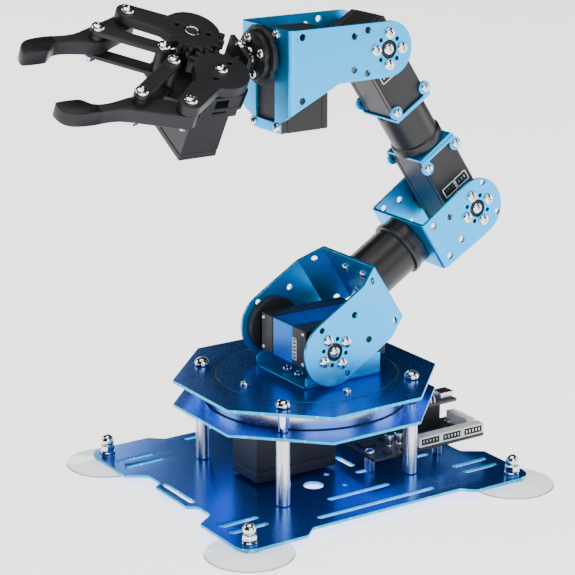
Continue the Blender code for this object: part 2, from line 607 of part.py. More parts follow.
def finger_outline(side):
    """Plan of a finger about its outer pivot; X runs forwards and Y outwards before mirroring."""
    tilt_x, tilt_y = INNER_AHEAD, -(GEAR_PITCH_R - INNER_SIDE)
    length = math.hypot(tilt_x, tilt_y)
    ux, uy = tilt_x / length, tilt_y / length
    nx, ny = -uy, ux
    r = 6.0
    points = []
    for i in range(7):
        a = math.pi / 2 + math.pi * i / 6
        along, across = r * math.cos(a), r * math.sin(a)
        points.append((along * ux + across * nx, along * uy + across * ny))
    points.append((tilt_x - r * nx, tilt_y - r * ny))
    inner = [(29.0, -15.4), (37.0, -13.6), (44.0, -12.9), (49.3, -13.4), (52.0, -15.4), (54.2, -17.9)]
    inner += [(56.6, -18.8), (68.4, -18.8)]
    outer = [(69.4, -17.6), (69.0, -13.6), (67.2, -10.0), (63.4, -7.4), (58.0, -6.5), (50.6, -6.2)]
    outer += [(42.6, -6.9), (35.8, -6.7), (30.4, -5.2)]
    points += inner + outer
    return [(x, side * y) for x, y in points]


def build_finger(name, parent, side):
    top = GEAR_TOP - GEAR_T - GAP
    inner = (INNER_AHEAD, -side * (GEAR_PITCH_R - INNER_SIDE))
    body = slab("finger", finger_outline(side), [circle(inner[0], inner[1], 2.4)], top - FINGER_T, top)
    collar = ring("collar", 2.4, 3.9, top - 1, GEAR_TOP - 3.0 - GAP, 12, at=(inner[0], inner[1], 0))
    pin = turned("pin", [(0, top - 1), (PIVOT_R, top - 1)] + pivot_head(GEAR_TOP + GAP), 14)
    finish(combine(body, adds=[collar, pin]), name, parent, "black")


def build_gripper_frame(parent):
    """Two plates behind the gears, held apart by a rear wall, with pins for the links and the idler gear."""
    link_foot = GEAR_TOP - GEAR_T - 2 * GAP - FINGER_T - BAR_T
    low_top = link_foot - GAP
    low = slab("low", [(-24.5, -15), (-14, -24.5), (8, -24.5), (29, -11), (29, 11), (8, 27.9), (-13, 27.9),
                       (-24.5, 15)], [circle(0, GEAR_PITCH_R, 5.0, 16)], low_top - BAR_T, low_top)
    rear = block("rear", (-24.0, -11, low_top - 1.0), (-21.0, 11, GEAR_TOP - 0.5))
    side = slab("side", [(-11.5, -21.0), (11.5, -21.0), (11.5, -6.5), (-11.5, -6.5)],
                [[(-3.5, -13.0), (3.5, -13.0), (3.5, -8.8), (-3.5, -8.8)]], 25.4, 27.6, XZ)
    adds = [rear, side]
    for y in (INNER_SIDE, -INNER_SIDE):
        profile = [(0, low_top - 1), (PIVOT_R, low_top - 1)] + pivot_head(GEAR_TOP + GAP)
        adds.append(turned("pin", profile, 14, at=(INNER_AHEAD, y, 0)))
    adds.append(disc("idler", 4.3, low_top - 1, GEAR_TOP - 1.0, 20, at=(0, -GEAR_PITCH_R, 0)))
    finish(combine(low, adds=adds), "gripper_frame", parent, "satin_black")


def build_gripper_servo(parent):
    x0, x1, y0, y1, z0, z1 = GRIP_SERVO
    case = block("case", (x0, y0, z0), (x1, y1, z1), 1.0)
    boss = disc("boss", 4.5, z1 - 2, z1 + 4.2, 16, at=(0, GEAR_PITCH_R, 0))
    finish(combine(case, adds=[boss]), "gripper_servo", parent, "black")


def build_gripper_horn(parent):
    """The drive horn under the driven gear, with its shaft through the frame."""
    top = GEAR_TOP - GEAR_T - GAP
    foot, disc_foot = GRIP_SERVO[5] + 4.6, top - 2.6
    shaft = [(0, foot), (2.6, foot), (2.6, disc_foot), (8.6, disc_foot), (8.6, top), (PIVOT_R, top)]
    horn = turned("horn", shaft + pivot_head(GEAR_TOP + GAP), 20)
    finish(horn, "gripper_horn", parent, "steel")


# ------------------------------------------------------------------ assembly
def build():
    clear_scene()
    root = make_empty("assembly_origin", None, (YAW_AXIS_X, YAW_AXIS_Y, PLATE_TOP_Z))
    build_feet(root)
    build_base_plate(root)
    build_decks(root)
    build_base_servo(root)
    build_controller(root)

    yaw = make_empty("yaw_axis", root, (0, 0, 0))
    build_turntable(yaw)
    build_shoulder_servo(yaw)

    shoulder = make_empty("shoulder_axis", yaw, (SHOULDER_X, 0, SHOULDER_Z), (0, -LINK1_TILT, 0))
    horn_outer = SHOULDER_HALF - SHEET_T - GAP
    for name, side in (("shoulder_horn_front", -1), ("shoulder_horn_rear", 1)):
        build_horn(name, shoulder, SHOULDER_SERVO_HALF + 3.2 + GAP, horn_outer, 17.0, side)
    build_shoulder_bracket(shoulder)
    tube_profile = [(51.8, 17.0), (53.8, 17.0), (54.1, 15.6), (79.3, 15.6), (79.6, 17.4), (82.8, 17.4)]
    build_tube("upper_arm_tube", shoulder, tube_profile + [(83.1, 16.4), (89.4, 16.4)])
    build_elbow_bracket(shoulder)

    elbow = make_empty("elbow_axis", shoulder, (LINK1_LEN, 0, 0), (0, LINK1_TILT - LINK2_TILT, 0))
    build_servo("elbow_servo", elbow)
    build_eared_bracket("elbow_servo_bracket", elbow, 0, 1)
    tube_start = CASE_FAR + 2 * GAP + PLATE_T
    tube_end = LINK2_LEN - tube_start
    tube_profile = [(tube_start, 15.6), (tube_start + 5.5, 15.6), (tube_start + 5.8, 14.3), (tube_end, 14.3)]
    build_tube("forearm_tube", elbow, tube_profile)
    build_eared_bracket("wrist_servo_bracket", elbow, LINK2_LEN, -1)
    build_servo("wrist_servo", elbow, flip=True, at=(LINK2_LEN, 0, 0))

    wrist = make_empty("wrist_axis", elbow, (LINK2_LEN, 0, 0), (0, LINK2_TILT - HAND_TILT, 0))
    build_wrist_bracket(wrist)
    build_roll_servo(wrist)

    horn_inner = CASE_HALF_H + 3.6 + GAP
    for prefix, carrier, half in (("elbow_horn", shoulder, ELBOW_HALF), ("wrist_horn", wrist, WRIST_HALF)):
        for name, side in (("_front", -1), ("_rear", 1)):
            build_horn(prefix + name, carrier, horn_inner, half - SHEET_T - GAP, HORN_R, side)
            if prefix == "elbow_horn":
                bpy.data.objects[prefix + name].location = (LINK1_LEN * MM, 0, 0)

    roll = make_empty("roll_axis", wrist, (HAND_AT, 0, 0), (180.0 - HAND_ROLL, 0, 0))
    build_roll_coupling(roll)
    hand = make_empty("gripper_middle", roll, (0, GRIP_SIDE, 0))
    build_gripper_frame(hand)
    build_gripper_servo(hand)
    tilt = math.radians(ARM_ANGLE)
    fingers = ((1, "front", "drive_gear_arm", 0, 2.4), (-1, "rear", "idler_gear_arm", 0.5, 4.6))
    for side, name, gear, phase, bore in fingers:
        centre = make_empty(name + "_gear_axis", hand, (0, side * GEAR_PITCH_R, 0))
        build_gear_arm(gear, centre, side, phase, bore)
        if side > 0:
            build_gripper_horn(centre)
        link_axis = make_empty(name + "_link_axis", hand, (INNER_AHEAD, side * INNER_SIDE, 0))
        build_inner_link("inner_link_" + name, link_axis, side)
        finger_axis = make_empty(name + "_finger_axis", centre,
                                 (ARM_LEN * math.cos(tilt), side * ARM_LEN * math.sin(tilt), 0))
        build_finger("finger_" + name, finger_axis, side)
    bpy.context.view_layer.update()


build()
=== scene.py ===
"""Looks of the desktop robot arm: fine pieces, materials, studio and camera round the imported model.

Lengths are in millimetres in each part's own frame, and are scaled to metres when a mesh is made.
A frame's +X runs along its link, and its origin lies on the joint's axis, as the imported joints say.
"""
import math
import random

import bmesh
import bpy
from mathutils import Matrix, Vector, geometry
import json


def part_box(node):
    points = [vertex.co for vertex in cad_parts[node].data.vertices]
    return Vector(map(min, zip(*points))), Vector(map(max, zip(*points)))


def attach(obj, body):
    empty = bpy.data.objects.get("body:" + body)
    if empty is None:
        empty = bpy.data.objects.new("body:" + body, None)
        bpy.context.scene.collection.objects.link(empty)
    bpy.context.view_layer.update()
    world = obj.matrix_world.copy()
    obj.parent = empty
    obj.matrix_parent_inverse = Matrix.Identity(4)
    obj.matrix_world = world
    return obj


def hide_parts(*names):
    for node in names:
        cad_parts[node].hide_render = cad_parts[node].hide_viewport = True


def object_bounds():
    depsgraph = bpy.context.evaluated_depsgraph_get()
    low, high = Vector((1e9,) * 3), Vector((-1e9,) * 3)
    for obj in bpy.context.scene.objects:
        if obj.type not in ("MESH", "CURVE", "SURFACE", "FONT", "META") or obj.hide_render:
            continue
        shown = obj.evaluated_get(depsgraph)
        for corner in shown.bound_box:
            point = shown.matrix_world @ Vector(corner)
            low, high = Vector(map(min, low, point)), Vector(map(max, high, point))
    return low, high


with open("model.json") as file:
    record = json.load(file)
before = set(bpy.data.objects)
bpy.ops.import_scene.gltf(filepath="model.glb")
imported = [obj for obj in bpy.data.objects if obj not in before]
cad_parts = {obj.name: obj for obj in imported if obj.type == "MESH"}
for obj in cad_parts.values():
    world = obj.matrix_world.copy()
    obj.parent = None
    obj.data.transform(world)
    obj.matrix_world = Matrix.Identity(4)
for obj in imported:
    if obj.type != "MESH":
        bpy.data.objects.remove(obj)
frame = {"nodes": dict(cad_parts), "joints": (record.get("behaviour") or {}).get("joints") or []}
CAD_BOX = [list(corner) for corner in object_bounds()]

MM = 0.001
GAP = 0.3
JOINTS = {j["name"]: j for j in frame["joints"]}


# ------------------------------------------------------------------ frames
def joint_at(name):
    return Vector(JOINTS[name]["pos_m"])


def moved(matrix, x, y, z=0):
    """The same frame with its origin at a point of it, given in millimetres."""
    return matrix @ Matrix.Translation(Vector((x, y, z)) * MM)


def frame_along(origin, x_axis, z_axis=None):
    """A frame with +X along x_axis; +Y is the world's unless z_axis is given."""
    x = x_axis.normalized()
    y = Vector((0, 1, 0)) if z_axis is None else z_axis.cross(x)
    z = x.cross(y)
    rot = Matrix((x, y, z)).transposed()
    return Matrix.Translation(origin) @ rot.to_4x4()


YAW_AT, ROLL_AT = joint_at("base_yaw"), joint_at("wrist_roll")
SHOULDER_AT, ELBOW_AT, WRIST_AT = (joint_at(name + "_pitch") for name in ("shoulder", "elbow", "wrist"))
PLATE_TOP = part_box("base_plate")[1].z
BASE = Matrix.Translation((YAW_AT.x, YAW_AT.y, PLATE_TOP))
UPPER = frame_along(SHOULDER_AT, ELBOW_AT - SHOULDER_AT)
ELBOW_BACK = frame_along(ELBOW_AT, SHOULDER_AT - ELBOW_AT)
FOREARM = frame_along(ELBOW_AT, WRIST_AT - ELBOW_AT)
FOREARM_BACK = frame_along(WRIST_AT, ELBOW_AT - WRIST_AT)
WRIST = frame_along(WRIST_AT, ROLL_AT - WRIST_AT)
GRIP_NORMAL = -Vector(JOINTS["grip"]["axis"])
ROLL = frame_along(ROLL_AT, ROLL_AT - WRIST_AT, GRIP_NORMAL)
HAND = frame_along((joint_at("grip") + joint_at("idler_turn")) / 2, ROLL_AT - WRIST_AT, GRIP_NORMAL)

LINK2 = (WRIST_AT - ELBOW_AT).length / MM
SHOULDER_X, SHOULDER_Z = [v / MM for v in (BASE.inverted() @ SHOULDER_AT).xz]
HAND_AT = (ROLL_AT - WRIST_AT).length / MM

# ------------------------------------------------------------------ sizes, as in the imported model
PLATE_T, SHEET_T = 2.0, 1.8
FOOT_X, FOOT_Y = 91.2, 79.9
PLATE_CX, PLATE_CY = 3.0, 2.6
STANDOFF_X, STANDOFF_Y, STANDOFF_R, SHANK_R = 44.5, 43.8, 4.1, 1.65
LOWER_TOP, UPPER_TOP = 44.1, 58.6
SPACER_R = 2.9
DECK_APOTHEM, DISC_R, DISC_HOLE_R, DRUM_R, DRUM_WALL = 72.5, 53.1, 54.2, 59.0, 4.5
CASE_NEAR, CASE_FAR, CASE_W, CASE_H = 13.0, 43.5, 12.2, 16.0
SHOULDER_HALF, ELBOW_HALF, WRIST_HALF = 34.3, 25.5, 25.2
WRIST_PLATE = 66.2
BOLT_CIRCLE, SPARE_CIRCLE, CHEEK_BORE_R = 8.85, 7.8, 5.2
BEND_R, WRIST_BEND_R, SMALL_BEND_R = 2.6, 3.2, 2.2
CHEEK_TAIL, TUBE_BORE_R, EAR_SHEET_T = -24.0, 12.5, 1.5
CHEEK_SCREW, PLATE_SCREW, PIVOT_SCREW = (3.3, 2.3), (2.6, 2.0), (3.7, 2.5)  # head radius and height
TUBE_SCREWS = ((-9, -9), (-9, 9), (9, -9), (9, 9))
GEAR_PITCH_R, GEAR_TEETH = 17.3, 18
ARM_LEN, ARM_ANGLE = 36.5, math.radians(35)
INNER_AHEAD, INNER_SIDE = 23.6, 6.0
GEAR_TOP, GEAR_T, FINGER_T, BAR_T = 4.65, 6.0, 9.0, 2.5
FINGER_TOP = GEAR_TOP - GEAR_T - GAP
LINK_LOW = FINGER_TOP - FINGER_T - GAP
FRAME_LOW = LINK_LOW - BAR_T - GAP


# ------------------------------------------------------------------ materials
class Nodes:
    """A material's node tree, with the few joins that every finish here uses."""

    def __init__(self, name, stretch=(1, 1, 1)):
        self.mat = bpy.data.materials.new(name)
        self.mat.use_nodes = True
        self.tree = self.mat.node_tree
        self.shader = self.tree.nodes["Principled BSDF"]
        coords = self.tree.nodes.new("ShaderNodeTexCoord")
        mapping = self.tree.nodes.new("ShaderNodeMapping")
        mapping.inputs["Scale"].default_value = stretch
        self.tree.links.new(coords.outputs["Object"], mapping.inputs["Vector"])
        self.where = mapping.outputs["Vector"]
        self.plain = coords.outputs["Object"]

    def link(self, a, b):
        self.tree.links.new(a, b)

    def noise(self, scale, detail=3.0, stretched=True, roughness=0.5):
        node = self.tree.nodes.new("ShaderNodeTexNoise")
        node.inputs["Scale"].default_value = scale
        node.inputs["Detail"].default_value = detail
        node.inputs["Roughness"].default_value = roughness
        self.link(self.where if stretched else self.plain, node.inputs["Vector"])
        return node.outputs["Fac"]

    def spread(self, value, low, high, from_low=0.3, from_high=0.7):
        node = self.tree.nodes.new("ShaderNodeMapRange")
        node.inputs["From Min"].default_value = from_low
        node.inputs["From Max"].default_value = from_high
        node.inputs["To Min"].default_value = low
        node.inputs["To Max"].default_value = high
        self.link(value, node.inputs["Value"])
        return node.outputs["Result"]

    def blend_colours(self, value, a, b):
        node = self.tree.nodes.new("ShaderNodeMix")
        node.data_type = "RGBA"
        node.inputs["A"].default_value = (*a, 1)
        node.inputs["B"].default_value = (*b, 1)
        self.link(value, node.inputs["Factor"])
        return node.outputs["Result"]

    def bump(self, height, strength, distance):
        node = self.tree.nodes.new("ShaderNodeBump")
        node.inputs["Strength"].default_value = strength
        node.inputs["Distance"].default_value = distance
        self.link(height, node.inputs["Height"])
        self.link(node.outputs["Normal"], self.shader.inputs["Normal"])

    def set(self, **values):
        for key, value in values.items():
            self.shader.inputs[key.replace("_", " ")].default_value = value


def shade(colour, factor):
    return tuple(min(1.0, c * factor) for c in colour)


def make_finish(name, colour, rough, metallic, tone=0.12, tone_scale=18.0, grain=2600.0,
                grain_height=0.00002, grain_strength=0.25, stretch=(1, 1, 1), **sockets):
    """Patchy tone at hand scale, a fine grain in the surface, and roughness that follows both."""
    n = Nodes(name, stretch)
    patches = n.noise(tone_scale, 4.0, stretched=False)
    fine = n.noise(grain, 2.0)
    n.link(n.blend_colours(n.spread(patches, 0, 1), shade(colour, 1 - tone), shade(colour, 1 + tone)),
           n.shader.inputs["Base Color"])
    n.link(n.spread(fine, rough[0], rough[1]), n.shader.inputs["Roughness"])
    n.bump(fine, grain_strength, grain_height)
    n.set(Metallic=metallic, **sockets)
    return n.mat


def make_anodised(name, colour, rough, stretch):
    """Dyed aluminium sheet: brushed grain along the sheet, faint streaks and a slightly uneven dye."""
    return make_finish(name, colour, rough, 0.92, 0.07, 14.0, 900.0, 0.000012, 0.2, stretch)


def make_edge(name, colour):
    """Cut edges of the sheet, where the dye is thinner and handling has polished it."""
    n = Nodes(name)
    worn = n.noise(260.0, 5.0, stretched=False, roughness=0.7)
    n.link(n.blend_colours(n.spread(worn, 0, 1, 0.55, 0.72), colour, (0.42, 0.72, 0.86)),
           n.shader.inputs["Base Color"])
    n.link(n.spread(worn, 0.38, 0.24), n.shader.inputs["Roughness"])
    n.bump(n.noise(3200.0, 2.0, stretched=False), 0.2, 0.00001)
    n.set(Metallic=0.85)
    return n.mat


def make_board():
    """Black solder mask over faint traces, with tinned pads showing as specks."""
    n = Nodes("board_mask")
    brick = n.tree.nodes.new("ShaderNodeTexBrick")
    brick.inputs["Scale"].default_value = 210.0
    brick.inputs["Mortar Size"].default_value = 0.055
    brick.inputs["Color1"].default_value = (0.012, 0.014, 0.015, 1)
    brick.inputs["Color2"].default_value = (0.02, 0.023, 0.024, 1)
    brick.inputs["Mortar"].default_value = (0.045, 0.05, 0.05, 1)
    n.link(n.plain, brick.inputs["Vector"])
    n.link(brick.outputs["Color"], n.shader.inputs["Base Color"])
    n.link(n.spread(n.noise(700.0), 0.28, 0.5), n.shader.inputs["Roughness"])
    n.bump(brick.outputs["Fac"], 0.3, 0.00004)
    return n.mat


def make_vinyl():
    """Clear soft vinyl with a faint milky unevenness from the mould."""
    n = Nodes("clear_vinyl")
    swirl = n.noise(60.0, 3.0, stretched=False)
    n.link(n.blend_colours(swirl, (0.8, 0.82, 0.83), (0.92, 0.93, 0.94)), n.shader.inputs["Base Color"])
    n.link(n.spread(swirl, 0.05, 0.14), n.shader.inputs["Roughness"])
    n.bump(n.noise(220.0, 2.0, stretched=False), 0.15, 0.00008)
    n.set(Transmission_Weight=0.8, IOR=1.45, Metallic=0.0)
    return n.mat


DYE_BLUE, DYE_CYAN = (0.012, 0.19, 0.8), (0.0, 0.44, 1.0)
MATS = {
    "deck": make_anodised("anodised_deck", DYE_BLUE, (0.2, 0.32), (1, 14, 14)),
    "cheek": make_anodised("anodised_cheek", DYE_CYAN, (0.3, 0.42), (14, 14, 1)),
    "edge": make_edge("anodised_edge", (0.0, 0.36, 0.66)),
    "servo_blue": make_anodised("anodised_servo", (0.005, 0.12, 0.46), (0.25, 0.36), (14, 1, 14)),
    "plastic": make_finish("moulded_black", (0.016, 0.016, 0.018), (0.34, 0.52), 0.0,
                           0.2, 25.0, 2400.0, Specular_IOR_Level=0.3),
    "panel": make_finish("moulded_panel", (0.024, 0.024, 0.026), (0.42, 0.6), 0.0,
                         0.15, 30.0, 1900.0, Specular_IOR_Level=0.3),
    "rubber": make_finish("soft_black_tip", (0.006, 0.006, 0.007), (0.28, 0.42), 0.0,
                          0.25, 40.0, 1500.0, 0.00004, Specular_IOR_Level=0.3),
    "tube": make_finish("turned_black", (0.014, 0.014, 0.015), (0.28, 0.42), 0.3,
                        0.2, 30.0, 1200.0, 0.00001, 0.3, (40, 1, 1)),
    "gear": make_finish("moulded_gear_black", (0.016, 0.016, 0.018), (0.34, 0.48), 0.1,
                        0.2, 30.0, 2100.0, Specular_IOR_Level=0.3),
    "chrome": make_finish("polished_steel", (0.8, 0.8, 0.81), (0.05, 0.14), 1.0,
                          0.05, 90.0, 900.0, 0.000004, 0.15),
    "satin": make_finish("satin_turned", (0.72, 0.71, 0.74), (0.2, 0.34), 1.0,
                         0.06, 40.0, 900.0, 0.000006, 0.2, (1, 1, 0.04)),
    "drum": make_finish("satin_drum", (0.66, 0.68, 0.8), (0.16, 0.28), 1.0,
                        0.05, 30.0, 800.0, 0.000006, 0.2, (0.3, 0.3, 12)),
    "cream": make_finish("cream_connector", (0.78, 0.77, 0.73), (0.35, 0.5), 0.0, 0.06, 60.0, 2000.0),
    "dark": make_finish("shadow_black", (0.006, 0.006, 0.007), (0.6, 0.8), 0.0, 0.3, 80.0, 1500.0),
    "pin": make_finish("tinned_pin", (0.78, 0.72, 0.6), (0.18, 0.3), 1.0, 0.1, 200.0, 3000.0, 0.000003),
    "white": make_finish("white_plastic", (0.85, 0.85, 0.86), (0.35, 0.5), 0.0, 0.05, 80.0, 2000.0),
    "board": make_board(),
    "vinyl": make_vinyl(),
}


# ------------------------------------------------------------------ outlines
def arc(cx, cy, r, a0, a1, steps):
    return [(cx + r * math.cos(math.radians(a0 + (a1 - a0) * i / steps)),
             cy + r * math.sin(math.radians(a0 + (a1 - a0) * i / steps))) for i in range(steps + 1)]


def circle(cx, cy, r, sides=28):
    return arc(cx, cy, r, 0, 360 - 360 / sides, sides - 1)


def slot(cx, cy, length, width, angle=0.0):
    half, c, s = (length - width) / 2, math.cos(math.radians(angle)), math.sin(math.radians(angle))
    ends = arc(half, 0, width / 2, -90, 90, 8) + arc(-half, 0, width / 2, 90, 270, 8)
    return [(cx + c * x - s * y, cy + s * x + c * y) for x, y in ends]


def rounded(points, radius, steps=5):
    """The same polygon with each corner turned into an arc, as far as its sides leave room."""
    result = []
    n = len(points)
    for i in range(n):
        p, a, b = Vector(points[i]), Vector(points[i - 1]), Vector(points[(i + 1) % n])
        u, v = (a - p), (b - p)
        turn = math.pi - u.angle(v)
        if turn < math.radians(12):
            result.append(tuple(p))
            continue
        cut = min(radius * math.tan(turn / 2), u.length * 0.45, v.length * 0.45)
        start, end = p + u.normalized() * cut, p + v.normalized() * cut
        for k in range(steps + 1):
            t = k / steps
            result.append(tuple(start * (1 - t) ** 2 + p * (2 * t * (1 - t)) + end * t ** 2))
    return result


def area(loop):
    return sum(a[0] * b[1] - b[0] * a[1] for a, b in zip(loop, loop[1:] + loop[:1])) / 2


def inset(loop, distance, is_hole):
    """Moves a loop into the sheet's own material by distance."""
    sign = 1 if (area(loop) > 0) != is_hole else -1
    result = []
    n = len(loop)
    for i in range(n):
        p, a, b = Vector(loop[i]), Vector(loop[i - 1]), Vector(loop[(i + 1) % n])
        d1, d2 = (p - a).normalized(), (b - p).normalized()
        n1, n2 = Vector((-d1.y, d1.x)) * sign, Vector((-d2.y, d2.x)) * sign
        mid = n1 + n2
        scale = 2.0 / max(mid.length_squared, 0.8)
        result.append(tuple(p + mid * scale * distance))
    return result


# ------------------------------------------------------------------ meshes
XZ = Matrix(((1, 0, 0, 0), (0, 0, 1, 0), (0, 1, 0, 0), (0, 0, 0, 1)))
YZ = Matrix(((0, 0, 1, 0), (1, 0, 0, 0), (0, 1, 0, 0), (0, 0, 0, 1)))


def place(name, bm, matrix, body, looks, nodes=(), sharp=50, weld=True):
    """Makes the finished piece: shaded, dressed, in place and riding on its body."""
    if weld:
        bmesh.ops.remove_doubles(bm, verts=bm.verts, dist=0.002)
    bmesh.ops.recalc_face_normals(bm, faces=bm.faces)
    mesh = bpy.data.meshes.new(name)
    bm.to_mesh(mesh)
    bm.free()
    mesh.transform(Matrix.Scale(MM, 4))
    mesh.shade_smooth()
    mesh.set_sharp_from_angle(angle=math.radians(sharp))
    return dress(bpy.data.objects.new(name, mesh), matrix, body, looks, nodes)


PIECES = []


def dress(obj, matrix, body, looks, nodes=()):
    bpy.context.scene.collection.objects.link(obj)
    PIECES.append(obj)
    obj.matrix_world = matrix
    if not obj.data.materials:
        for look in looks:
            obj.data.materials.append(MATS[look])
    even = obj.modifiers.new("even_shading", "WEIGHTED_NORMAL")
    even.keep_sharp = True
    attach(obj, body)
    if nodes:
        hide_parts(*nodes)
    return obj


def sheet_mesh(outline, holes, z0, z1, edge, plane=None):
    """A flat sheet with chamfered edges. Faces on its rim have material 1."""
    loops = [outline] + list(holes)
    inner = [inset(loop, edge, i > 0) for i, loop in enumerate(loops)]
    triangles = geometry.tessellate_polygon([[Vector((x, y, 0)) for x, y in loop] for loop in inner])
    bm = bmesh.new()
    levels = ((inner, z0), (loops, z0 + edge), (loops, z1 - edge), (inner, z1))
    rings = [[bm.verts.new((x, y, z)) for loop in shape for x, y in loop] for shape, z in levels]
    for a, b, c in triangles:
        bm.faces.new((rings[3][a], rings[3][b], rings[3][c]))
        bm.faces.new((rings[0][c], rings[0][b], rings[0][a]))
    start = 0
    for loop in loops:
        n = len(loop)
        for i in range(n):
            a, b = start + i, start + (i + 1) % n
            for low, high in zip(rings, rings[1:]):
                face = bm.faces.new((low[a], low[b], high[b], high[a]))
                face.material_index = 1
        start += n
    if plane:
        bmesh.ops.transform(bm, matrix=plane, verts=bm.verts)
    return bm


def bent_mesh(corners, radius, outline, holes, thickness, edge, cuts=6):
    """A sheet bent along a path of outer corners (y, x), lying on the path's right-hand side.
    The flat pattern is (length along the path from its middle, height z)."""
    bm = sheet_mesh(outline, holes, 0, thickness, edge)
    points = [Vector(c) for c in corners]
    lengths = [(b - a).length for a, b in zip(points, points[1:])]
    total = sum(lengths)
    starts = [sum(lengths[:i]) - total / 2 for i in range(len(lengths) + 1)]
    bends = []
    for i in range(1, len(points) - 1):
        d0, d1 = (points[i] - points[i - 1]).normalized(), (points[i + 1] - points[i]).normalized()
        turn = d0.angle(d1)
        reach = radius * math.tan(turn / 2)
        bends.append((starts[i], reach, turn, d0))
        for k in range(cuts + 1):
            at = starts[i] + reach * (2 * k / cuts - 1)
            geom = bm.verts[:] + bm.edges[:] + bm.faces[:]
            bmesh.ops.bisect_plane(bm, geom=geom, plane_co=(at, 0, 0), plane_no=(1, 0, 0), dist=1e-4)
    for vert in bm.verts:
        t, height, depth = vert.co
        for i, (at, reach, turn, d0) in enumerate(bends, 1):
            if abs(t - at) <= reach:
                inward = Vector((d0.y, -d0.x))
                centre = points[i] - d0 * reach + inward * radius
                angle = -turn * (t - at + reach) / (2 * reach)
                inward = Matrix.Rotation(angle, 2) @ inward
                flat = centre - inward * (radius - depth)
                break
        else:
            k = max(j for j in range(len(lengths)) if t >= starts[j] - 1e-6 or j == 0)
            direction = (points[k + 1] - points[k]).normalized()
            flat = points[k] + direction * (t - starts[k]) + Vector((direction.y, -direction.x)) * depth
        vert.co = (flat.y, flat.x, height)
    return bm


def turned_mesh(profile, sides=56, axis="Z", bm=None, at=(0, 0, 0)):
    """A closed solid of revolution from (radius, height) points, joined to bm if one is given."""
    bm = bm or bmesh.new()
    new = []
    rings = []
    for r, h in profile:
        points = [(0, 0)] if r < 1e-6 else circle(0, 0, r, sides)
        rings.append([bm.verts.new((x, y, h)) for x, y in points])
        new += rings[-1]
    pairs = list(zip(rings, rings[1:]))
    if len(rings[0]) > 1 or len(rings[-1]) > 1:
        pairs.append((rings[-1], rings[0]))
    for low, high in pairs:
        for i in range(sides):
            j = (i + 1) % sides
            quad = (low[i % len(low)], low[j % len(low)], high[j % len(high)], high[i % len(high)])
            corners = list(dict.fromkeys(quad))
            if len(corners) > 2:
                bm.faces.new(corners)
    turn = {"Z": Matrix.Identity(3), "X": Matrix.Rotation(math.pi / 2, 3, "Y"),
            "Y": Matrix.Rotation(-math.pi / 2, 3, "X"), "-Y": Matrix.Rotation(math.pi / 2, 3, "X")}[axis]
    bmesh.ops.rotate(bm, verts=new, matrix=turn)
    bmesh.ops.translate(bm, verts=new, vec=Vector(at))
    return bm


def outward(side):
    """The axis for a turned piece that faces away from the arm's middle plane."""
    return "Y" if side > 0 else "-Y"


def box_mesh(low, high, bevel=0.4, segments=3, bm=None):
    """A box with rounded edges, joined to bm if one is given."""
    part = bmesh.new()
    bmesh.ops.create_cube(part, size=1.0)
    size = Vector(high) - Vector(low)
    bmesh.ops.scale(part, verts=part.verts, vec=size)
    bmesh.ops.translate(part, verts=part.verts, vec=(Vector(high) + Vector(low)) / 2)
    if bevel:
        bmesh.ops.bevel(part, geom=part.edges, offset=bevel, segments=segments, profile=0.6, affect="EDGES")
    if bm is None:
        return part
    scratch = bpy.data.meshes.new("scratch")
    part.to_mesh(scratch)
    part.free()
    bm.from_mesh(scratch)
    bpy.data.meshes.remove(scratch)
    return bm


def solid(bm):
    """A throw-away object for a Boolean."""
    bmesh.ops.recalc_face_normals(bm, faces=bm.faces)
    mesh = bpy.data.meshes.new("tool")
    bm.to_mesh(mesh)
    bm.free()
    obj = bpy.data.objects.new("tool", mesh)
    bpy.context.scene.collection.objects.link(obj)
    return obj


def carve(bm, cuts=(), adds=()):
    """The solid with whole solids joined on and cut away, as one mesh again."""
    base = solid(bm)
    tools = [(solid(t), "UNION") for t in adds] + [(solid(t), "DIFFERENCE") for t in cuts]
    for tool, how in tools:
        mod = base.modifiers.new(how.lower(), "BOOLEAN")
        mod.operation = how
        mod.object = tool
    graph = bpy.context.evaluated_depsgraph_get()
    graph.update()
    result = bmesh.new()
    result.from_mesh(base.evaluated_get(graph).to_mesh())
    for obj in [base] + [t for t, how in tools]:
        bpy.data.objects.remove(obj, do_unlink=True)
    return result


# ------------------------------------------------------------------ screws
def cross_cut(width, reach, depth, top):
    """Two tapering blades, as a cross-head driver leaves."""
    blades = []
    for angle in (0, math.pi / 2):
        blade = box_mesh((-reach, -width / 2, top - depth), (reach, width / 2, top + 1), 0)
        for vert in blade.verts:
            if vert.co.z < top - depth / 2:
                vert.co.x *= 0.45
        bmesh.ops.rotate(blade, verts=blade.verts, matrix=Matrix.Rotation(angle, 3, "Z"))
        blades.append(blade)
    return blades


def dome_profile(r, base, height, angles):
    """Points of a rounded crown, at these angles in degrees above its rim."""
    return [(r * math.cos(math.radians(a)), base + height * math.sin(math.radians(a))) for a in angles]


def head_profile(r, h):
    """A pan head: short straight rim, then a round crown."""
    rim = 0.28 * h
    crown = dome_profile(r, rim, h - rim, range(0, 90, 12))
    return [(0, -0.3), (r * 0.94, -0.3), (r, 0.08)] + crown + [(0, h)]


SCREW_MESHES = {}


def screw_mesh(r, h):
    key = (r, h)
    if key not in SCREW_MESHES:
        head = carve(turned_mesh(head_profile(r, h), 32), cuts=cross_cut(r * 0.24, r * 0.6, h * 0.62, h))
        mesh = bpy.data.meshes.new("screw_head_%g" % r)
        head.to_mesh(mesh)
        head.free()
        mesh.transform(Matrix.Scale(MM, 4))
        mesh.shade_smooth()
        mesh.set_sharp_from_angle(angle=math.radians(40))
        mesh.materials.append(MATS["chrome"])
        SCREW_MESHES[key] = mesh
    return SCREW_MESHES[key]


TURNS = random.Random(7)


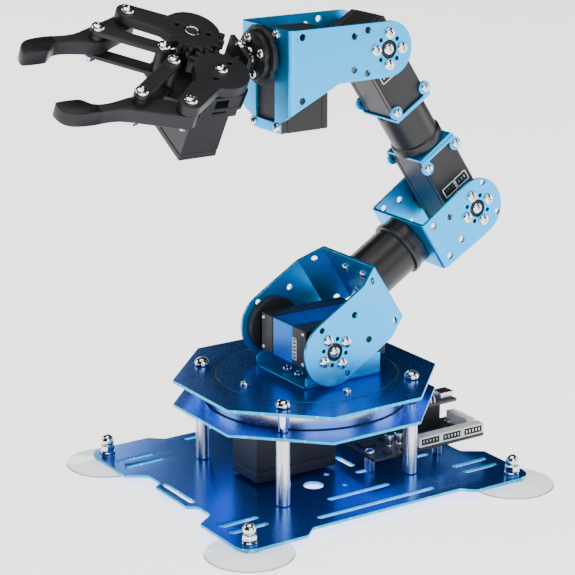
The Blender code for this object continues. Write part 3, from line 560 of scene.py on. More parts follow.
def screw(name, frame_matrix, body, at, normal, r, h):
    """A cross-head screw seated at a point of a frame, facing along normal, turned as chance left it."""
    facing = Vector(normal).to_track_quat("Z", "Y").to_matrix().to_4x4()
    spin = Matrix.Rotation(TURNS.uniform(0, math.pi / 2), 4, "Z")
    seat = moved(frame_matrix, *at) @ facing @ spin
    return dress(bpy.data.objects.new(name, screw_mesh(r, h)), seat, body, ["chrome"])


def screws(prefix, matrix, body, points, normal, r, h):
    for i, at in enumerate(points):
        screw("%s_%d" % (prefix, i + 1), matrix, body, at, normal, r, h)


def ring_of(count, radius, start=0.0):
    """Points evenly round a circle, from start in degrees."""
    angles = [math.radians(start + 360 / count * k) for k in range(count)]
    return [(radius * math.cos(a), radius * math.sin(a)) for a in angles]


def bolt_ring(prefix, frame_matrix, body, half):
    """Four screws round a joint's axis on both cheeks, with a recessed one in the middle of a bore filled
    with painted shade.
    """
    for side, tag in ((-1, "front"), (1, "rear")):
        face = side * half
        points = [(x, face, z) for x, z in ring_of(4, BOLT_CIRCLE)]
        screws("%s_%s_screw" % (prefix, tag), frame_matrix, body, points, (0, side, 0), *CHEEK_SCREW)
        screw("%s_%s_screw_middle" % (prefix, tag), frame_matrix, body, (0, face - side * 1.0, 0),
              (0, side, 0), CHEEK_SCREW[0], 2.4)
        # Painted shade: a near-black stepped disc fills the bore round the middle screw.
        bore_shade = turned_mesh([(0, 0), (4.9, 0), (4.9, 0.8), (4.5, 1.15), (3.6, 1.15), (3.2, 0.8), (0, 0.8)],
                           36, outward(side), at=(0, face - side * 1.7, 0))
        place("%s_%s_bore" % (prefix, tag), bore_shade, frame_matrix, body, ["dark"])


def ring_holes(cx, cy):
    """The small spare holes between the four screws."""
    return [circle(cx + x, cy + y, 1.2, 16) for x, y in ring_of(4, SPARE_CIRCLE, 45)]


# ------------------------------------------------------------------ base
def plate_outline():
    quarter = [(94.0, 17.5), (88.5, 21.5), (88.5, 35.0), (100.3, 43.0), (100.3, 79.7), (99.0, 84.2),
               (95.8, 87.4), (91.3, 88.7), (58.7, 88.7), (50.7, 81.5)]
    points = quarter + [(-x, y) for x, y in reversed(quarter)]
    points += [(-x, -y) for x, y in quarter] + [(x, -y) for x, y in reversed(quarter)]
    return [(x + PLATE_CX, y + PLATE_CY) for x, y in rounded(points, 2.2)]


def build_base_plate():
    holes = []
    for sx in (-1, 1):
        for sy in (-1, 1):
            holes.append(circle(PLATE_CX + sx * FOOT_X, PLATE_CY + sy * FOOT_Y, 2.4))
            for row in (52.8, 63.2):
                holes.append(slot(PLATE_CX + sx * 80.8, PLATE_CY + sy * row, 25.0, 3.6))
        holes.append(slot(PLATE_CX + sx * 87.8, PLATE_CY + 1.7, 34.0, 3.6, 90))
    holes += [slot(2.7, -51.0, 43.0, 3.6), slot(2.1, -69.5, 81.0, 3.6), slot(23.0, -7.8, 18.0, 3.6, 90),
              slot(23.2, -26.3, 10.0, 3.6), slot(66.0, -25.2, 12.0, 3.6), slot(-32.0, 76.5, 12.0, 3.6),
              circle(-13.4, -28.4, 5.8, 40), circle(2.3, -18.9, 1.7, 20), circle(2.0, -38.2, 1.7, 20)]
    place("base_plate_sheet", sheet_mesh(plate_outline(), holes, -PLATE_T, 0, 0.25), BASE, "base",
          ["deck", "edge"], ["base_plate"])


def build_feet():
    cup = [(0, -4.3), (5, -4.4), (14, -5.4), (21, -6.2), (23.8, -6.6), (24.7, -6.55), (25.0, -6.3),
           (24.8, -6.0), (22, -5.55), (17, -4.75), (12, -3.85), (9, -3.3), (7.4, -3.0), (6.9, -2.6),
           (6.6, -2.3), (2.0, -2.3), (2.0, 5.5), (0, 5.5)]
    collar = [(2.3, 0.3), (4.5, 0.3), (4.6, 0.55), (4.6, 0.9), (4.3, 1.2), (2.3, 1.2)]
    dome = [(2.3, 5.0)] + dome_profile(3.9, 7.6, 4.0, range(-35, 90, 9)) + [(0, 11.6), (0, 6.0), (2.3, 6.0)]
    for name, sx, sy in (("front_left", -1, -1), ("front_right", 1, -1), ("back_left", -1, 1),
                         ("back_right", 1, 1)):
        spot = moved(BASE, PLATE_CX + sx * FOOT_X, PLATE_CY + sy * FOOT_Y)
        place("cup_" + name, turned_mesh(cup, 96), spot, "base", ["vinyl"], ["suction_cup_" + name])
        hexagon = rounded(circle(0, 0, 4.55, 6), 0.5, 3)
        nut = sheet_mesh(hexagon, [circle(0, 0, 2.3, 24)], 1.2, 5.4, 0.35)
        turned_mesh(dome, 40, bm=nut)
        turned_mesh(collar, 40, bm=nut)
        place("cap_nut_" + name, nut, spot, "base", ["chrome", "chrome"], ["foot_nut_" + name], 40,
              weld=False)


def octagon(apothem):
    corner = apothem * math.tan(math.pi / 8)
    points = []
    for k in range(8):
        a = math.radians(45 * k)
        points.append((apothem * math.cos(a) + corner * math.sin(a),
                       apothem * math.sin(a) - corner * math.cos(a)))
    return rounded(points, 1.2, 4)


def build_decks():
    posts = [(sx * STANDOFF_X, sy * STANDOFF_Y) for sx in (-1, 1) for sy in (-1, 1)]
    shanks = [circle(x, y, SHANK_R + GAP, 20) for x, y in posts]
    for name, top, middle, edge in (("lower_deck", LOWER_TOP, circle(0, 0, 10, 48), 0.25),
                                    ("upper_deck", UPPER_TOP, circle(0, 0, DISC_HOLE_R, 128), 0.15)):
        deck = sheet_mesh(octagon(DECK_APOTHEM), shanks + [middle], top - PLATE_T, top, edge)
        place(name + "_sheet", deck, BASE, "base", ["deck", "edge"], [name])
    top = LOWER_TOP - PLATE_T - GAP
    seat = UPPER_TOP + GAP
    crown = dome_profile(4.35, seat + 0.9, 3.7, range(0, 90, 9))
    low, high = LOWER_TOP + GAP, UPPER_TOP - PLATE_T - GAP
    shank = [(0, top - 6), (1.3, top - 6), (SHANK_R, top - 5.6), (SHANK_R, low), (SPACER_R - 0.3, low),
             (SPACER_R, low + 0.3), (SPACER_R, high - 0.3), (SPACER_R - 0.3, high), (SHANK_R, high),
             (SHANK_R, seat)]
    for name, (x, y) in zip(("front_left", "back_left", "front_right", "back_right"), posts):
        spot = moved(BASE, x, y)
        post = [(0, GAP), (3.6, GAP), (STANDOFF_R, GAP + 0.5), (STANDOFF_R, top - 0.5), (3.6, top),
                (2.0, top), (2.0, top - 8), (0, top - 8)]
        place("post_" + name, turned_mesh(post, 64), spot, "base", ["satin"], ["standoff_" + name])
        dome = shank + [(3.9, seat), (4.35, seat + 0.35)] + crown + [(0, seat + 4.6)]
        place("dome_screw_" + name, turned_mesh(dome, 48), spot, "base", ["chrome"], ["deck_screw_" + name],
              40)
    wall = [(DRUM_R - DRUM_WALL, low), (DRUM_R - 0.4, low), (DRUM_R, low + 0.4), (DRUM_R, high - 2.2),
            (DRUM_R - 0.3, high - 2.0), (DRUM_R - 0.3, high - 1.6), (DRUM_R, high - 1.4),
            (DRUM_R, high - 0.4), (DRUM_R - 0.4, high), (DRUM_R - DRUM_WALL, high)]
    place("drum_wall", turned_mesh(wall, 144), BASE, "base", ["drum"], ["bearing_drum"])
    # Painted shade: a near-black ring fills the narrow gap between the turntable disc and the upper deck.
    gap_low, gap_high = UPPER_TOP - 1.5, UPPER_TOP - 0.22
    gap = [(DISC_R + 0.2, gap_low), (DISC_HOLE_R - 0.02, gap_low), (DISC_HOLE_R - 0.02, gap_high),
           (DISC_R + 0.2, gap_high)]
    place("disc_gap_painted_shade", turned_mesh(gap, 144), BASE, "base", ["dark"])
    # Painted shade: a thin near-black ring on the lower deck round the foot of the drum.
    foot_shade = [(DRUM_R + 0.15, LOWER_TOP), (DRUM_R + 0.85, LOWER_TOP), (DRUM_R + 0.7, LOWER_TOP + 0.35),
            (DRUM_R + 0.2, LOWER_TOP + 0.35)]
    place("drum_foot_painted_shade", turned_mesh(foot_shade, 144), BASE, "base", ["dark"])


def build_base_servo():
    x0, x1, half, top = -42.5, 12.5, 13.6, LOWER_TOP - PLATE_T - GAP
    case = box_mesh((x0, -half, 8.6), (x1, half, 33.0), 0.9)
    box_mesh((x0, -half, 1.7), (x1, half, 8.2), 0.9, bm=case)
    box_mesh((x0 + 0.5, -half + 0.5, 7.0), (x1 - 0.5, half - 0.5, top - 1), 0.3, bm=case)
    box_mesh((x0, -half, 33.4), (x1, half, top), 0.9, bm=case)
    turned_mesh([(0, 40), (8.0, 40), (8.0, 45.6), (7.6, 46.0), (3.0, 46.0), (3.0, 51.2), (2.7, 51.5),
                 (0, 51.5)], 40, bm=case)
    place("base_servo_case", case, BASE, "base", ["plastic"], ["base_servo"], 40, weld=False)


PORT_RIM, PIN_HALF_W, PIN_HALF_H = 0.55, 0.42, 0.9


def port(name, matrix, body, low, high, axis, pins, inward):
    """A socket: a thin pale rim round a mouth whose back half is painted shade, with a row of pins.
    axis is the face's own axis, 0, 1 or 2; inward is +1 or -1, the way into the case."""
    low, high = Vector(low), Vector(high)
    across = [i for i in range(3) if i != axis]
    rim = bmesh.new()
    for i in across:
        for edge in (0, 1):
            a, b = low.copy(), high.copy()
            if edge:
                a[i] = b[i] - PORT_RIM
            else:
                b[i] = a[i] + PORT_RIM
            box_mesh(a, b, 0.1, 1, bm=rim)
    place(name + "_rim", rim, matrix, body, ["white"], weld=False)
    # Painted shade: a near-black block fills the back half of the mouth.
    floor_low, floor_high = low.copy(), high.copy()
    for i in across:
        floor_low[i] += PORT_RIM
        floor_high[i] -= PORT_RIM
    mid = (low[axis] + high[axis]) / 2
    if inward > 0:
        floor_low[axis] = mid
    else:
        floor_high[axis] = mid
    place(name + "_floor", box_mesh(floor_low, floor_high, 0.05, 1), matrix, body, ["dark"])
    long_side = max(across, key=lambda i: high[i] - low[i])
    short_side = [i for i in across if i != long_side][0]
    row = bmesh.new()
    for k in range(pins):
        a, b = low.copy(), high.copy()
        centre = low[long_side] + (high[long_side] - low[long_side]) * (k + 1) / (pins + 1)
        a[long_side], b[long_side] = centre - PIN_HALF_W, centre + PIN_HALF_W
        middle = (low[short_side] + high[short_side]) / 2
        a[short_side], b[short_side] = middle - PIN_HALF_H, middle + PIN_HALF_H
        if inward > 0:
            a[axis] += 0.1
        else:
            b[axis] -= 0.1
        box_mesh(a, b, 0.08, 1, bm=row)
    place(name + "_pins", row, matrix, body, ["pin"], weld=False)


BOARD_Z = 9.2


def build_controller():
    top = BOARD_Z + 1.6
    outline = rounded([(23.0, -38.5), (104.5, -38.5), (104.5, -3.0), (23.0, -3.0)], 1.5)
    holes = [circle(26.6, -28.2, 1.7, 20), circle(77.0, -27.5, 1.7, 20), circle(27.0, -8.0, 1.5, 16)]
    place("board_sheet", sheet_mesh(outline, holes, BOARD_Z, top, 0.12), BASE, "base", ["board", "board"],
          ["controller_board"])
    for i, (x, y) in enumerate(((26.6, -28.2), (77.0, -27.5))):
        spot = moved(BASE, x, y)
        post = sheet_mesh(rounded(circle(0, 0, 3.2, 6), 0.3, 2), [], GAP, BOARD_Z - GAP, 0.25)
        place("board_post_%d" % (i + 1), post, spot, "base", ["satin", "satin"],
              ["board_standoff_%d" % (i + 1)])
        screw("board_screw_%d" % (i + 1), BASE, "base", (x, y, top + 0.4), (0, 0, 1), 2.9, 2.6)
    lift = top + GAP
    block = box_mesh((55.4, -38.3, lift), (103.7, -31.8, lift + 6.2), 0.35)
    mouths = [box_mesh((57.0 + 16 * i, -39.0, lift + 1.0), (70.4 + 16 * i, -33.4, lift + 5.2), 0.2, 1)
              for i in range(3)]
    place("servo_port_block", carve(block, cuts=mouths), BASE, "base", ["cream"], ["servo_ports"], 35)
    for i in range(3):
        x0 = 57.0 + 16 * i
        port("servo_port_%d" % (i + 1), BASE, "base", (x0 - 0.5, -38.45, lift + 0.5),
             (x0 + 13.9, -37.7, lift + 5.7), 1, 5, 1)
        pins = bmesh.new()
        for k in range(5):
            x = x0 + 2.0 + 2.35 * k
            box_mesh((x - 0.35, -37.6, lift + 1.6), (x + 0.35, -33.0, lift + 3.6), 0.1, 1, bm=pins)
        place("servo_contacts_%d" % (i + 1), pins, BASE, "base", ["pin"], weld=False)
    inlet = box_mesh((97.5, -29.5, lift), (104.0, -9.5, lift + 7.0), 0.4)
    teeth = [box_mesh((100.5, -28.3 + 3.2 * k, lift + 2.5), (105.0, -26.1 + 3.2 * k, lift + 8.0), 0, 1)
             for k in range(6)]
    place("power_terminal", carve(inlet, cuts=teeth), BASE, "base", ["cream"], ["power_inlet"], 35)
    riser = box_mesh((72.5, -15.2, lift), (88.5, -11.2, lift + 15.5), 0.3)
    place("card_riser", riser, BASE, "base", ["plastic"], ["radio_card"])
    card = sheet_mesh(rounded([(72.5, -19), (98.5, -19), (98.5, -4), (72.5, -4)], 1.0), [], lift + 15.6,
                      lift + 17.2, 0.12)
    place("card_sheet", card, BASE, "base", ["board", "board"])
    parts = bmesh.new()
    for x, y, w, d, h in ((33, -15, 9, 9, 1.4), (48, -14, 6, 4, 1.2), (60, -17, 7, 7, 1.3),
                          (64, -27, 4, 3, 1.6), (88, -26, 5, 3.5, 1.5), (36, -33, 5, 3, 1.4),
                          (47, -33.5, 3, 2, 1.0)):
        box_mesh((x - w / 2, y - d / 2, top), (x + w / 2, y + d / 2, top + h), 0.15, 1, bm=parts)
    place("board_chips", parts, BASE, "base", ["panel"], weld=False)
    cans = bmesh.new()
    for x, y, r, h in ((43.5, -24.5, 2.6, 7.0), (50.5, -24.5, 2.6, 7.0), (91, -20, 2.2, 5.4)):
        turned_mesh([(0, top), (r, top), (r, top + 0.9), (r - 0.25, top + 1.2), (r - 0.25, top + 1.5),
                     (r, top + 1.8), (r, top + h - 0.3), (r - 0.3, top + h), (0, top + h)], 28, bm=cans,
                    at=(x, y, 0))
    place("board_capacitors", cans, BASE, "base", ["chrome"], weld=False)
    lid = lift + 17.2
    shell = carve(box_mesh((88.5, -15.5, lid + 0.1), (98.2, -7.0, lid + 4.0), 0.4),
                  cuts=[box_mesh((92.0, -14.9, lid + 0.7), (99.0, -7.6, lid + 3.4), 0.2, 1)])
    place("card_socket", shell, BASE, "base", ["satin"], sharp=35)
    for k in range(4):
        wire_pin(k, (74.5 + 2.6 * k, -17.5, lid))


def wire_pin(k, foot):
    """One of the bent wire pins that stand on the small card."""
    x, y, z = foot
    bm = bmesh.new()
    rings = []
    for i in range(13):
        a = math.radians(180 * i / 12)
        centre = Vector((x, y + 2.2 - 2.2 * math.cos(a), z + 4.0 * math.sin(a) + 0.1))
        tangent = Vector((0, 2.2 * math.sin(a), 4.0 * math.cos(a))).normalized()
        side = tangent.cross(Vector((1, 0, 0)))
        rings.append([bm.verts.new(centre + 0.45 * (math.cos(t) * Vector((1, 0, 0)) + math.sin(t) * side))
                      for t in (2 * math.pi * j / 10 for j in range(10))])
    for low, high in zip(rings, rings[1:]):
        for j in range(10):
            bm.faces.new((low[j], low[(j + 1) % 10], high[(j + 1) % 10], high[j]))
    bm.faces.new(rings[0][::-1])
    bm.faces.new(rings[-1])
    place("card_pin_%d" % (k + 1), bm, BASE, "base", ["pin"], weld=False)


# ------------------------------------------------------------------ turntable and shoulder
def build_turntable():
    disc = sheet_mesh(circle(0, 0, DISC_R, 144), [], UPPER_TOP - PLATE_T, UPPER_TOP, 0.12)
    place("turntable_plate", disc, BASE, "turntable", ["deck", "edge"], ["turntable_disc"])
    points = [(x, y, UPPER_TOP) for x, y in ring_of(4, 42)]
    screws("turntable_screw", BASE, "turntable", points, (0, 0, 1), 2.6, 2.2)
    x0, x1, half, floor = -17.5, 34.6, 25.0, UPPER_TOP + GAP
    outline = [(x, h) for x, h in ((x0, 5.5), (x0 + 12, 13.2), (x1, 13.2))]
    right = [(half + h, x) for x, h in outline]
    flat = [(half, x0)] + right + [(half, x1)]
    flat = flat + [(-t, x) for t, x in reversed(flat)]
    flat = rounded(flat, 1.5, 4)
    holes = [circle(t, -9, 1.5, 16) for t in (-6, 6)]
    bm = bent_mesh([(-half, 13.2), (-half, 0), (half, 0), (half, 13.2)], SMALL_BEND_R, flat, holes,
                   EAR_SHEET_T, 0.2)
    for vert in bm.verts:
        up, y, x = vert.co
        vert.co = (x, y, floor + up)
    place("turntable_bracket_sheet", bm, BASE, "turntable", ["cheek", "edge"], ["turntable_bracket"])
    points = [(-9, y, floor + 1.5) for y in (-6, 6)]
    screws("bracket_floor_screw", BASE, "turntable", points, (0, 0, 1), *PLATE_SCREW)
    for side in (-1, 1):
        for x in (-8, 24):
            screw("bracket_wall_screw_%d_%d" % (side + 2, x + 9), BASE, "turntable",
                  (x, side * half, floor + 9.4), (0, side, 0), 1.9, 1.2)


def build_shoulder_servo():
    x0, x1 = SHOULDER_X - 12.6, SHOULDER_X + 43.4
    z0, z1 = SHOULDER_Z - 11.8, SHOULDER_Z + 11.4
    spans = (("front_case", "plastic", -23.2, -9.65), ("middle", "servo_blue", -9.35, 11.15),
             ("rear_case", "plastic", 11.45, 23.2))
    for tag, look, y0, y1 in spans:
        body = box_mesh((x0, y0, z0), (x1, y1, z1), 0.8, 4)
        if look == "plastic":
            side = -1 if y0 < 0 else 1
            face = side * 23.2
            boss = [(0, -2), (8.0, -2), (8.0, 2.9), (7.7, 3.2), (0, 3.2)]
            turned_mesh(boss, 48, outward(side), body, (SHOULDER_X, face, SHOULDER_Z))
            lip_y = sorted((face - side * 3.6, face - side * 3.9))
            box_mesh((x0 - 0.15, lip_y[0], z0 - 0.15), (x1 + 0.15, lip_y[1], z1 + 0.15), 0.1, 1, bm=body)
        place("shoulder_servo_%s_shell" % tag, body, BASE, "turntable", [look], ["shoulder_servo_" + tag],
              35, weld=False)
    port("shoulder_port", BASE, "turntable", (x0 - 0.35, -13.9, z0 + 3.4), (x0 + 1.0, -10.0, z0 + 16.6), 0,
         5, 1)
    corners = [(x, y, z) for y in (-20.6, 20.6) for x, z in ((x0, z0 + 2.6), (x0, z1 - 2.6))]
    screws("shoulder_case_screw", BASE, "turntable", corners, (-1, 0, 0), 1.3, 0.9)


def horn(name, matrix, body, node, inner, outer, radius, side):
    """A ribbed plastic horn between a servo's boss and a cheek."""
    t = outer - inner
    profile = [(0, 0), (radius * 0.55, 0), (radius * 0.6, 0.5), (radius - 1.2, 0.8), (radius - 0.4, 1.1),
               (radius, 1.6), (radius, t - 0.4), (radius - 0.4, t), (0, t)]
    disc = turned_mesh(profile, 64, outward(side), at=(0, side * inner, 0))
    place(name, disc, matrix, body, ["plastic"], [node])


def mirrored(right):
    """A whole flat pattern from its right half, without repeating the points on the middle line."""
    return right + [(-t, z) for t, z in reversed(right) if t > 1e-6]


def build_shoulder_bracket():
    fold, end, end_half, side = 35.5, 51.5, 26.0, 19.8
    taper = math.hypot(end - fold, SHOULDER_HALF - end_half)
    corner = end_half + taper
    cheek = [(fold, side)] + [(8.0, 20.3)] + arc(0, 0, 20.3, 90, 270, 40) + [(8.0, -20.3), (fold, -side)]
    cheek = [(corner + fold - x, z) for x, z in cheek]
    right = [(0, side), (end_half, side)] + cheek + [(end_half, -side), (0, -side)]
    flat = list(dict.fromkeys(mirrored(right)))
    holes = [circle(t * (end_half + 8.6), z, 1.9, 24) for t in (-1, 1) for z in (-15.6, 15.6)]
    holes += [circle(y, z, 1.5, 20) for y, z in TUBE_SCREWS]
    for s in (-1, 1):
        for x, z, r in ((21.9, 9.6, 1.9), (21.9, -9.6, 1.9), (0, 16.7, 1.7), (0, -16.7, 1.7),
                        (0, 0, CHEEK_BORE_R)):
            holes.append(circle(s * (corner + fold - x), z, r, 32))
        holes += ring_holes(s * (corner + fold), 0)
    path = [(-SHOULDER_HALF, CHEEK_TAIL), (-SHOULDER_HALF, fold), (-end_half, end), (end_half, end),
            (SHOULDER_HALF, fold), (SHOULDER_HALF, CHEEK_TAIL)]
    bm = bent_mesh(path, BEND_R, flat, holes, SHEET_T, 0.2)
    place("shoulder_bracket_sheet", bm, UPPER, "upper_arm", ["cheek", "edge"], ["shoulder_bracket"])
    bolt_ring("shoulder", UPPER, "upper_arm", SHOULDER_HALF)
    points = [(end - SHEET_T, y, z) for y, z in TUBE_SCREWS]
    screws("shoulder_plate_screw", UPPER, "upper_arm", points, (-1, 0, 0), *PLATE_SCREW)


def build_tube(name, matrix, body, node, profile):
    outer = [(r, x) for x, r in profile]
    loop = [(TUBE_BORE_R, profile[0][0])] + outer + [(TUBE_BORE_R, profile[-1][0])]
    place(name, turned_mesh(loop, 96, "X"), matrix, body, ["tube"], [node])


def build_elbow_bracket():
    back, half_back, r = 37.4, 16.6, 18.0
    cheek = [(back, half_back), (6.0, r)] + arc(0, 0, r, 90, 270, 40) + [(6.0, -r), (back, -half_back)]
    corner = ELBOW_HALF + back
    flat = mirrored([(corner - x, z) for x, z in cheek])
    holes = [circle(y, z, 1.5, 20) for y, z in TUBE_SCREWS]
    for s in (-1, 1):
        for x, z, hole_r in ((18.6, 8.8, 1.9), (18.6, -8.8, 1.9), (30.4, 11.8, 1.9), (30.4, -11.8, 1.9),
                             (-10.9, 11.2, 1.7), (-10.9, -11.2, 1.7), (0, 0, CHEEK_BORE_R)):
            holes.append(circle(s * (corner - x), z, hole_r, 32))
        holes += ring_holes(s * corner, 0)
    path = [(-ELBOW_HALF, CHEEK_TAIL), (-ELBOW_HALF, back), (ELBOW_HALF, back), (ELBOW_HALF, CHEEK_TAIL)]
    place("elbow_bracket_sheet", bent_mesh(path, BEND_R, flat, holes, SHEET_T, 0.2), ELBOW_BACK, "upper_arm",
          ["cheek", "edge"], ["elbow_bracket"])
    bolt_ring("elbow", ELBOW_BACK, "upper_arm", ELBOW_HALF)
    points = [(back - SHEET_T, y, z) for y, z in TUBE_SCREWS]
    screws("elbow_plate_screw", ELBOW_BACK, "upper_arm", points, (-1, 0, 0), *PLATE_SCREW)


# ------------------------------------------------------------------ servos
def servo_case(name, matrix, body, both=True):
    """A bus servo: a middle case between two covers, with seams, a raised label field and bosses.
    In its own frame the shaft is the Y axis and the case runs from -CASE_NEAR to CASE_FAR along X."""
    x0, x1, w, h = -CASE_NEAR, CASE_FAR, CASE_W, CASE_H
    case = box_mesh((x0, -h + 4.6, -w), (x1, h - 4.6, w), 0.7, 3)
    for side in (-1, 1):
        y = sorted((side * (h - 4.25), side * h))
        box_mesh((x0, y[0], -w), (x1, y[1], w), 1.0, 4, bm=case)
        y = sorted((side * (h - 5.4), side * (h - 3.6)))
        box_mesh((x0 + 0.45, y[0], -w + 0.45), (x1 - 0.45, y[1], w - 0.45), 0.2, 1, bm=case)
        if side < 0 or both:
            boss = [(0, -2), (7.0, -2), (7.0, 3.2), (6.6, 3.6), (0, 3.6)]
            turned_mesh(boss, 40, outward(side), case, (0, side * h, 0))
    place(name + "_shell", case, matrix, body, ["plastic"], [name], 35, weld=False)
    field = bmesh.new()
    for side in (-1, 1):
        y = sorted((side * (h - 0.35), side * (h + 0.02)))
        box_mesh((10.5, y[0], -w + 3.4), (x1 - 2.4, y[1], w - 2.0), 0.15, 1, bm=field)
        box_mesh((10.5, y[0], -w + 0.9), (x1 - 2.4, y[1], -w + 2.7), 0.15, 1, bm=field)
    place(name + "_label_field", field, matrix, body, ["panel"], weld=False)


def servo_ports(name, matrix, body, side):
    y_face = side * CASE_H
    for i, z0 in enumerate((-9.6, 0.4)):
        low = (13.6, min(y_face, y_face + side * 0.3), z0)
        high = (20.2, max(y_face, y_face + side * 0.3), z0 + 9.6)
        port("%s_port_%d" % (name, i + 1), matrix, body, low, high, 1, 3, -side)


def eared_bracket(name, matrix, body):
    """The U over a servo's end: plate across the tube, a strip down each side, ending in two round ears."""
    strip_y, out, half = CASE_H + GAP + EAR_SHEET_T, CASE_FAR + GAP + 2.0, 13.4
    ear_x, ear_z, ear_r = 39.0, 11.6, 4.0
    lobe = arc(ear_x, ear_z, ear_r, 27, 318, 22)
    fillet = [(42.2, 8.4), (42.4, 7.4)]
    cheek = [(out, half)] + lobe + fillet + [(x, -z) for x, z in reversed(lobe + fillet)] + [(out, -half)]
    right = [(0, half)] + [(strip_y + out - x, z) for x, z in cheek] + [(0, -half)]
    flat = mirrored(right)
    holes = [circle(s * (strip_y + out - ear_x), e * ear_z, 1.4, 20) for s in (-1, 1) for e in (-1, 1)]
    path = [(-strip_y, 30.0), (-strip_y, out), (strip_y, out), (strip_y, 30.0)]
    sheet = bent_mesh(path, SMALL_BEND_R, flat, holes, EAR_SHEET_T, 0.2)
    place(name + "_sheet", sheet, matrix, body, ["cheek", "edge"], [name])
    for s, tag in ((-1, "front"), (1, "rear")):
        for e in (-1, 1):
            screw("%s_%s_ear_screw_%d" % (name, tag, e + 2), matrix, body, (ear_x, s * strip_y, e * ear_z),
                  (0, s, 0), *PLATE_SCREW)


def build_forearm():
    for name, matrix in (("elbow_servo", FOREARM), ("wrist_servo", FOREARM_BACK)):
        servo_case(name, matrix, "forearm")
        servo_ports(name, matrix, "forearm", -1)
        servo_ports(name + "_rear", matrix, "forearm", 1)
        eared_bracket(name + "_bracket", matrix, "forearm")
    start = CASE_FAR + 2 * GAP + PLATE_T
    end = LINK2 - start
    build_tube("forearm_tube_wall", FOREARM, "forearm", "forearm_tube",
               [(start, 15.2), (start + 0.4, 15.6), (start + 5.0, 15.6), (start + 5.6, 15.0),
                (start + 6.0, 14.3), (end - 0.5, 14.3), (end, 13.9)])


# ------------------------------------------------------------------ wrist
def build_wrist():
    r, end, low = 15.9, WRIST_PLATE, 31.6
    cheek = [(end, -r), (8.0, -r)] + arc(0, 0, r, 270, 90, 40) + [(8.0, r), (33.5, 16.2), (end, low)]
    edge = [(WRIST_HALF - 0.4, low), (14.0, low + 5.0), (14.0, 42.6), (0, 42.6)]
    right = [(0, -r)] + [(WRIST_HALF + end - x, z) for x, z in cheek] + edge
    flat = list(dict.fromkeys(mirrored(right)))
    holes = [rounded([(-9.6, -10.8), (9.6, -10.8), (9.6, 36.5), (-9.6, 36.5)], 1.5)]
    holes += [circle(s * 11.6, z, 1.4, 20) for s in (-1, 1) for z in (-12.4, 39.4)]
    for s in (-1, 1):
        for x, z in ((14.5, 12.0), (14.5, -12.0), (23.6, 9.3), (23.6, -9.3), (58.0, -11.8), (58.0, 23.3)):
            holes.append(circle(s * (WRIST_HALF + end - x), z, 1.9, 28))
        holes.append(circle(s * (WRIST_HALF + end), 0, CHEEK_BORE_R, 36))
        holes += ring_holes(s * (WRIST_HALF + end), 0)
    path = [(-WRIST_HALF, CHEEK_TAIL), (-WRIST_HALF, end), (WRIST_HALF, end), (WRIST_HALF, CHEEK_TAIL)]
    place("wrist_bracket_sheet", bent_mesh(path, WRIST_BEND_R, flat, holes, SHEET_T, 0.2), WRIST, "wrist",
          ["cheek", "edge"], ["wrist_bracket"])
    bolt_ring("wrist", WRIST, "wrist", WRIST_HALF)
    points = [(end, y, z) for z in (-12.4, 39.4) for y in (-11.6, 11.6)]
    screws("wrist_plate_screw", WRIST, "wrist", points, (1, 0, 0), 2.6, 1.8)
    face = end - SHEET_T - GAP
    upright = Matrix(((0, -1, 0, 0), (0, 0, -1, 0), (1, 0, 0, 0), (0, 0, 0, 1)))
    servo_case("roll_servo", moved(WRIST, face - CASE_H, 0) @ upright, "wrist", both=False)


def notched_circle(radius, sides, every, notch, depth):
    """A circle whose corners numbered in notch, counted anew after each stretch of every, lie deeper."""
    radii = [radius - (depth if k % every in notch else 0.0) for k in range(sides)]
    return [(r * math.cos(2 * math.pi * k / sides), r * math.sin(2 * math.pi * k / sides))
            for k, r in enumerate(radii)]


def build_roll_coupling():
    back = WRIST_PLATE + 1.8 - HAND_AT
    notched = notched_circle(16.6, 96, 16, (0, 1), 0.9)
    place("roll_horn_disc", sheet_mesh(notched, [circle(0, 0, 3, 24)], back, back + 3.2, 0.4, YZ), ROLL,
          "hand", ["gear", "gear"], ["roll_horn"])
    hub = notched_circle(14.2, 72, 18, (4, 5, 6), 1.0)
    place("roll_hub_disc", sheet_mesh(hub, [], back + 3.5, back + 6.9, 0.5, YZ), ROLL, "hand",
          ["gear", "gear"], ["roll_hub"])
    points = [(back + 6.9, y, z) for y, z in ring_of(4, 10, 45)]
    screws("roll_hub_screw", ROLL, "hand", points, (1, 0, 0), 2.6, 2.2)


# ------------------------------------------------------------------ gripper
def half_round(centre, u, n, r, start, steps):
    """Half a turn round centre from the angle start, in radians from u towards n."""
    angles = [start + math.pi * i / steps for i in range(steps + 1)]
    return [tuple(centre + u * r * math.cos(a) + n * r * math.sin(a)) for a in angles]


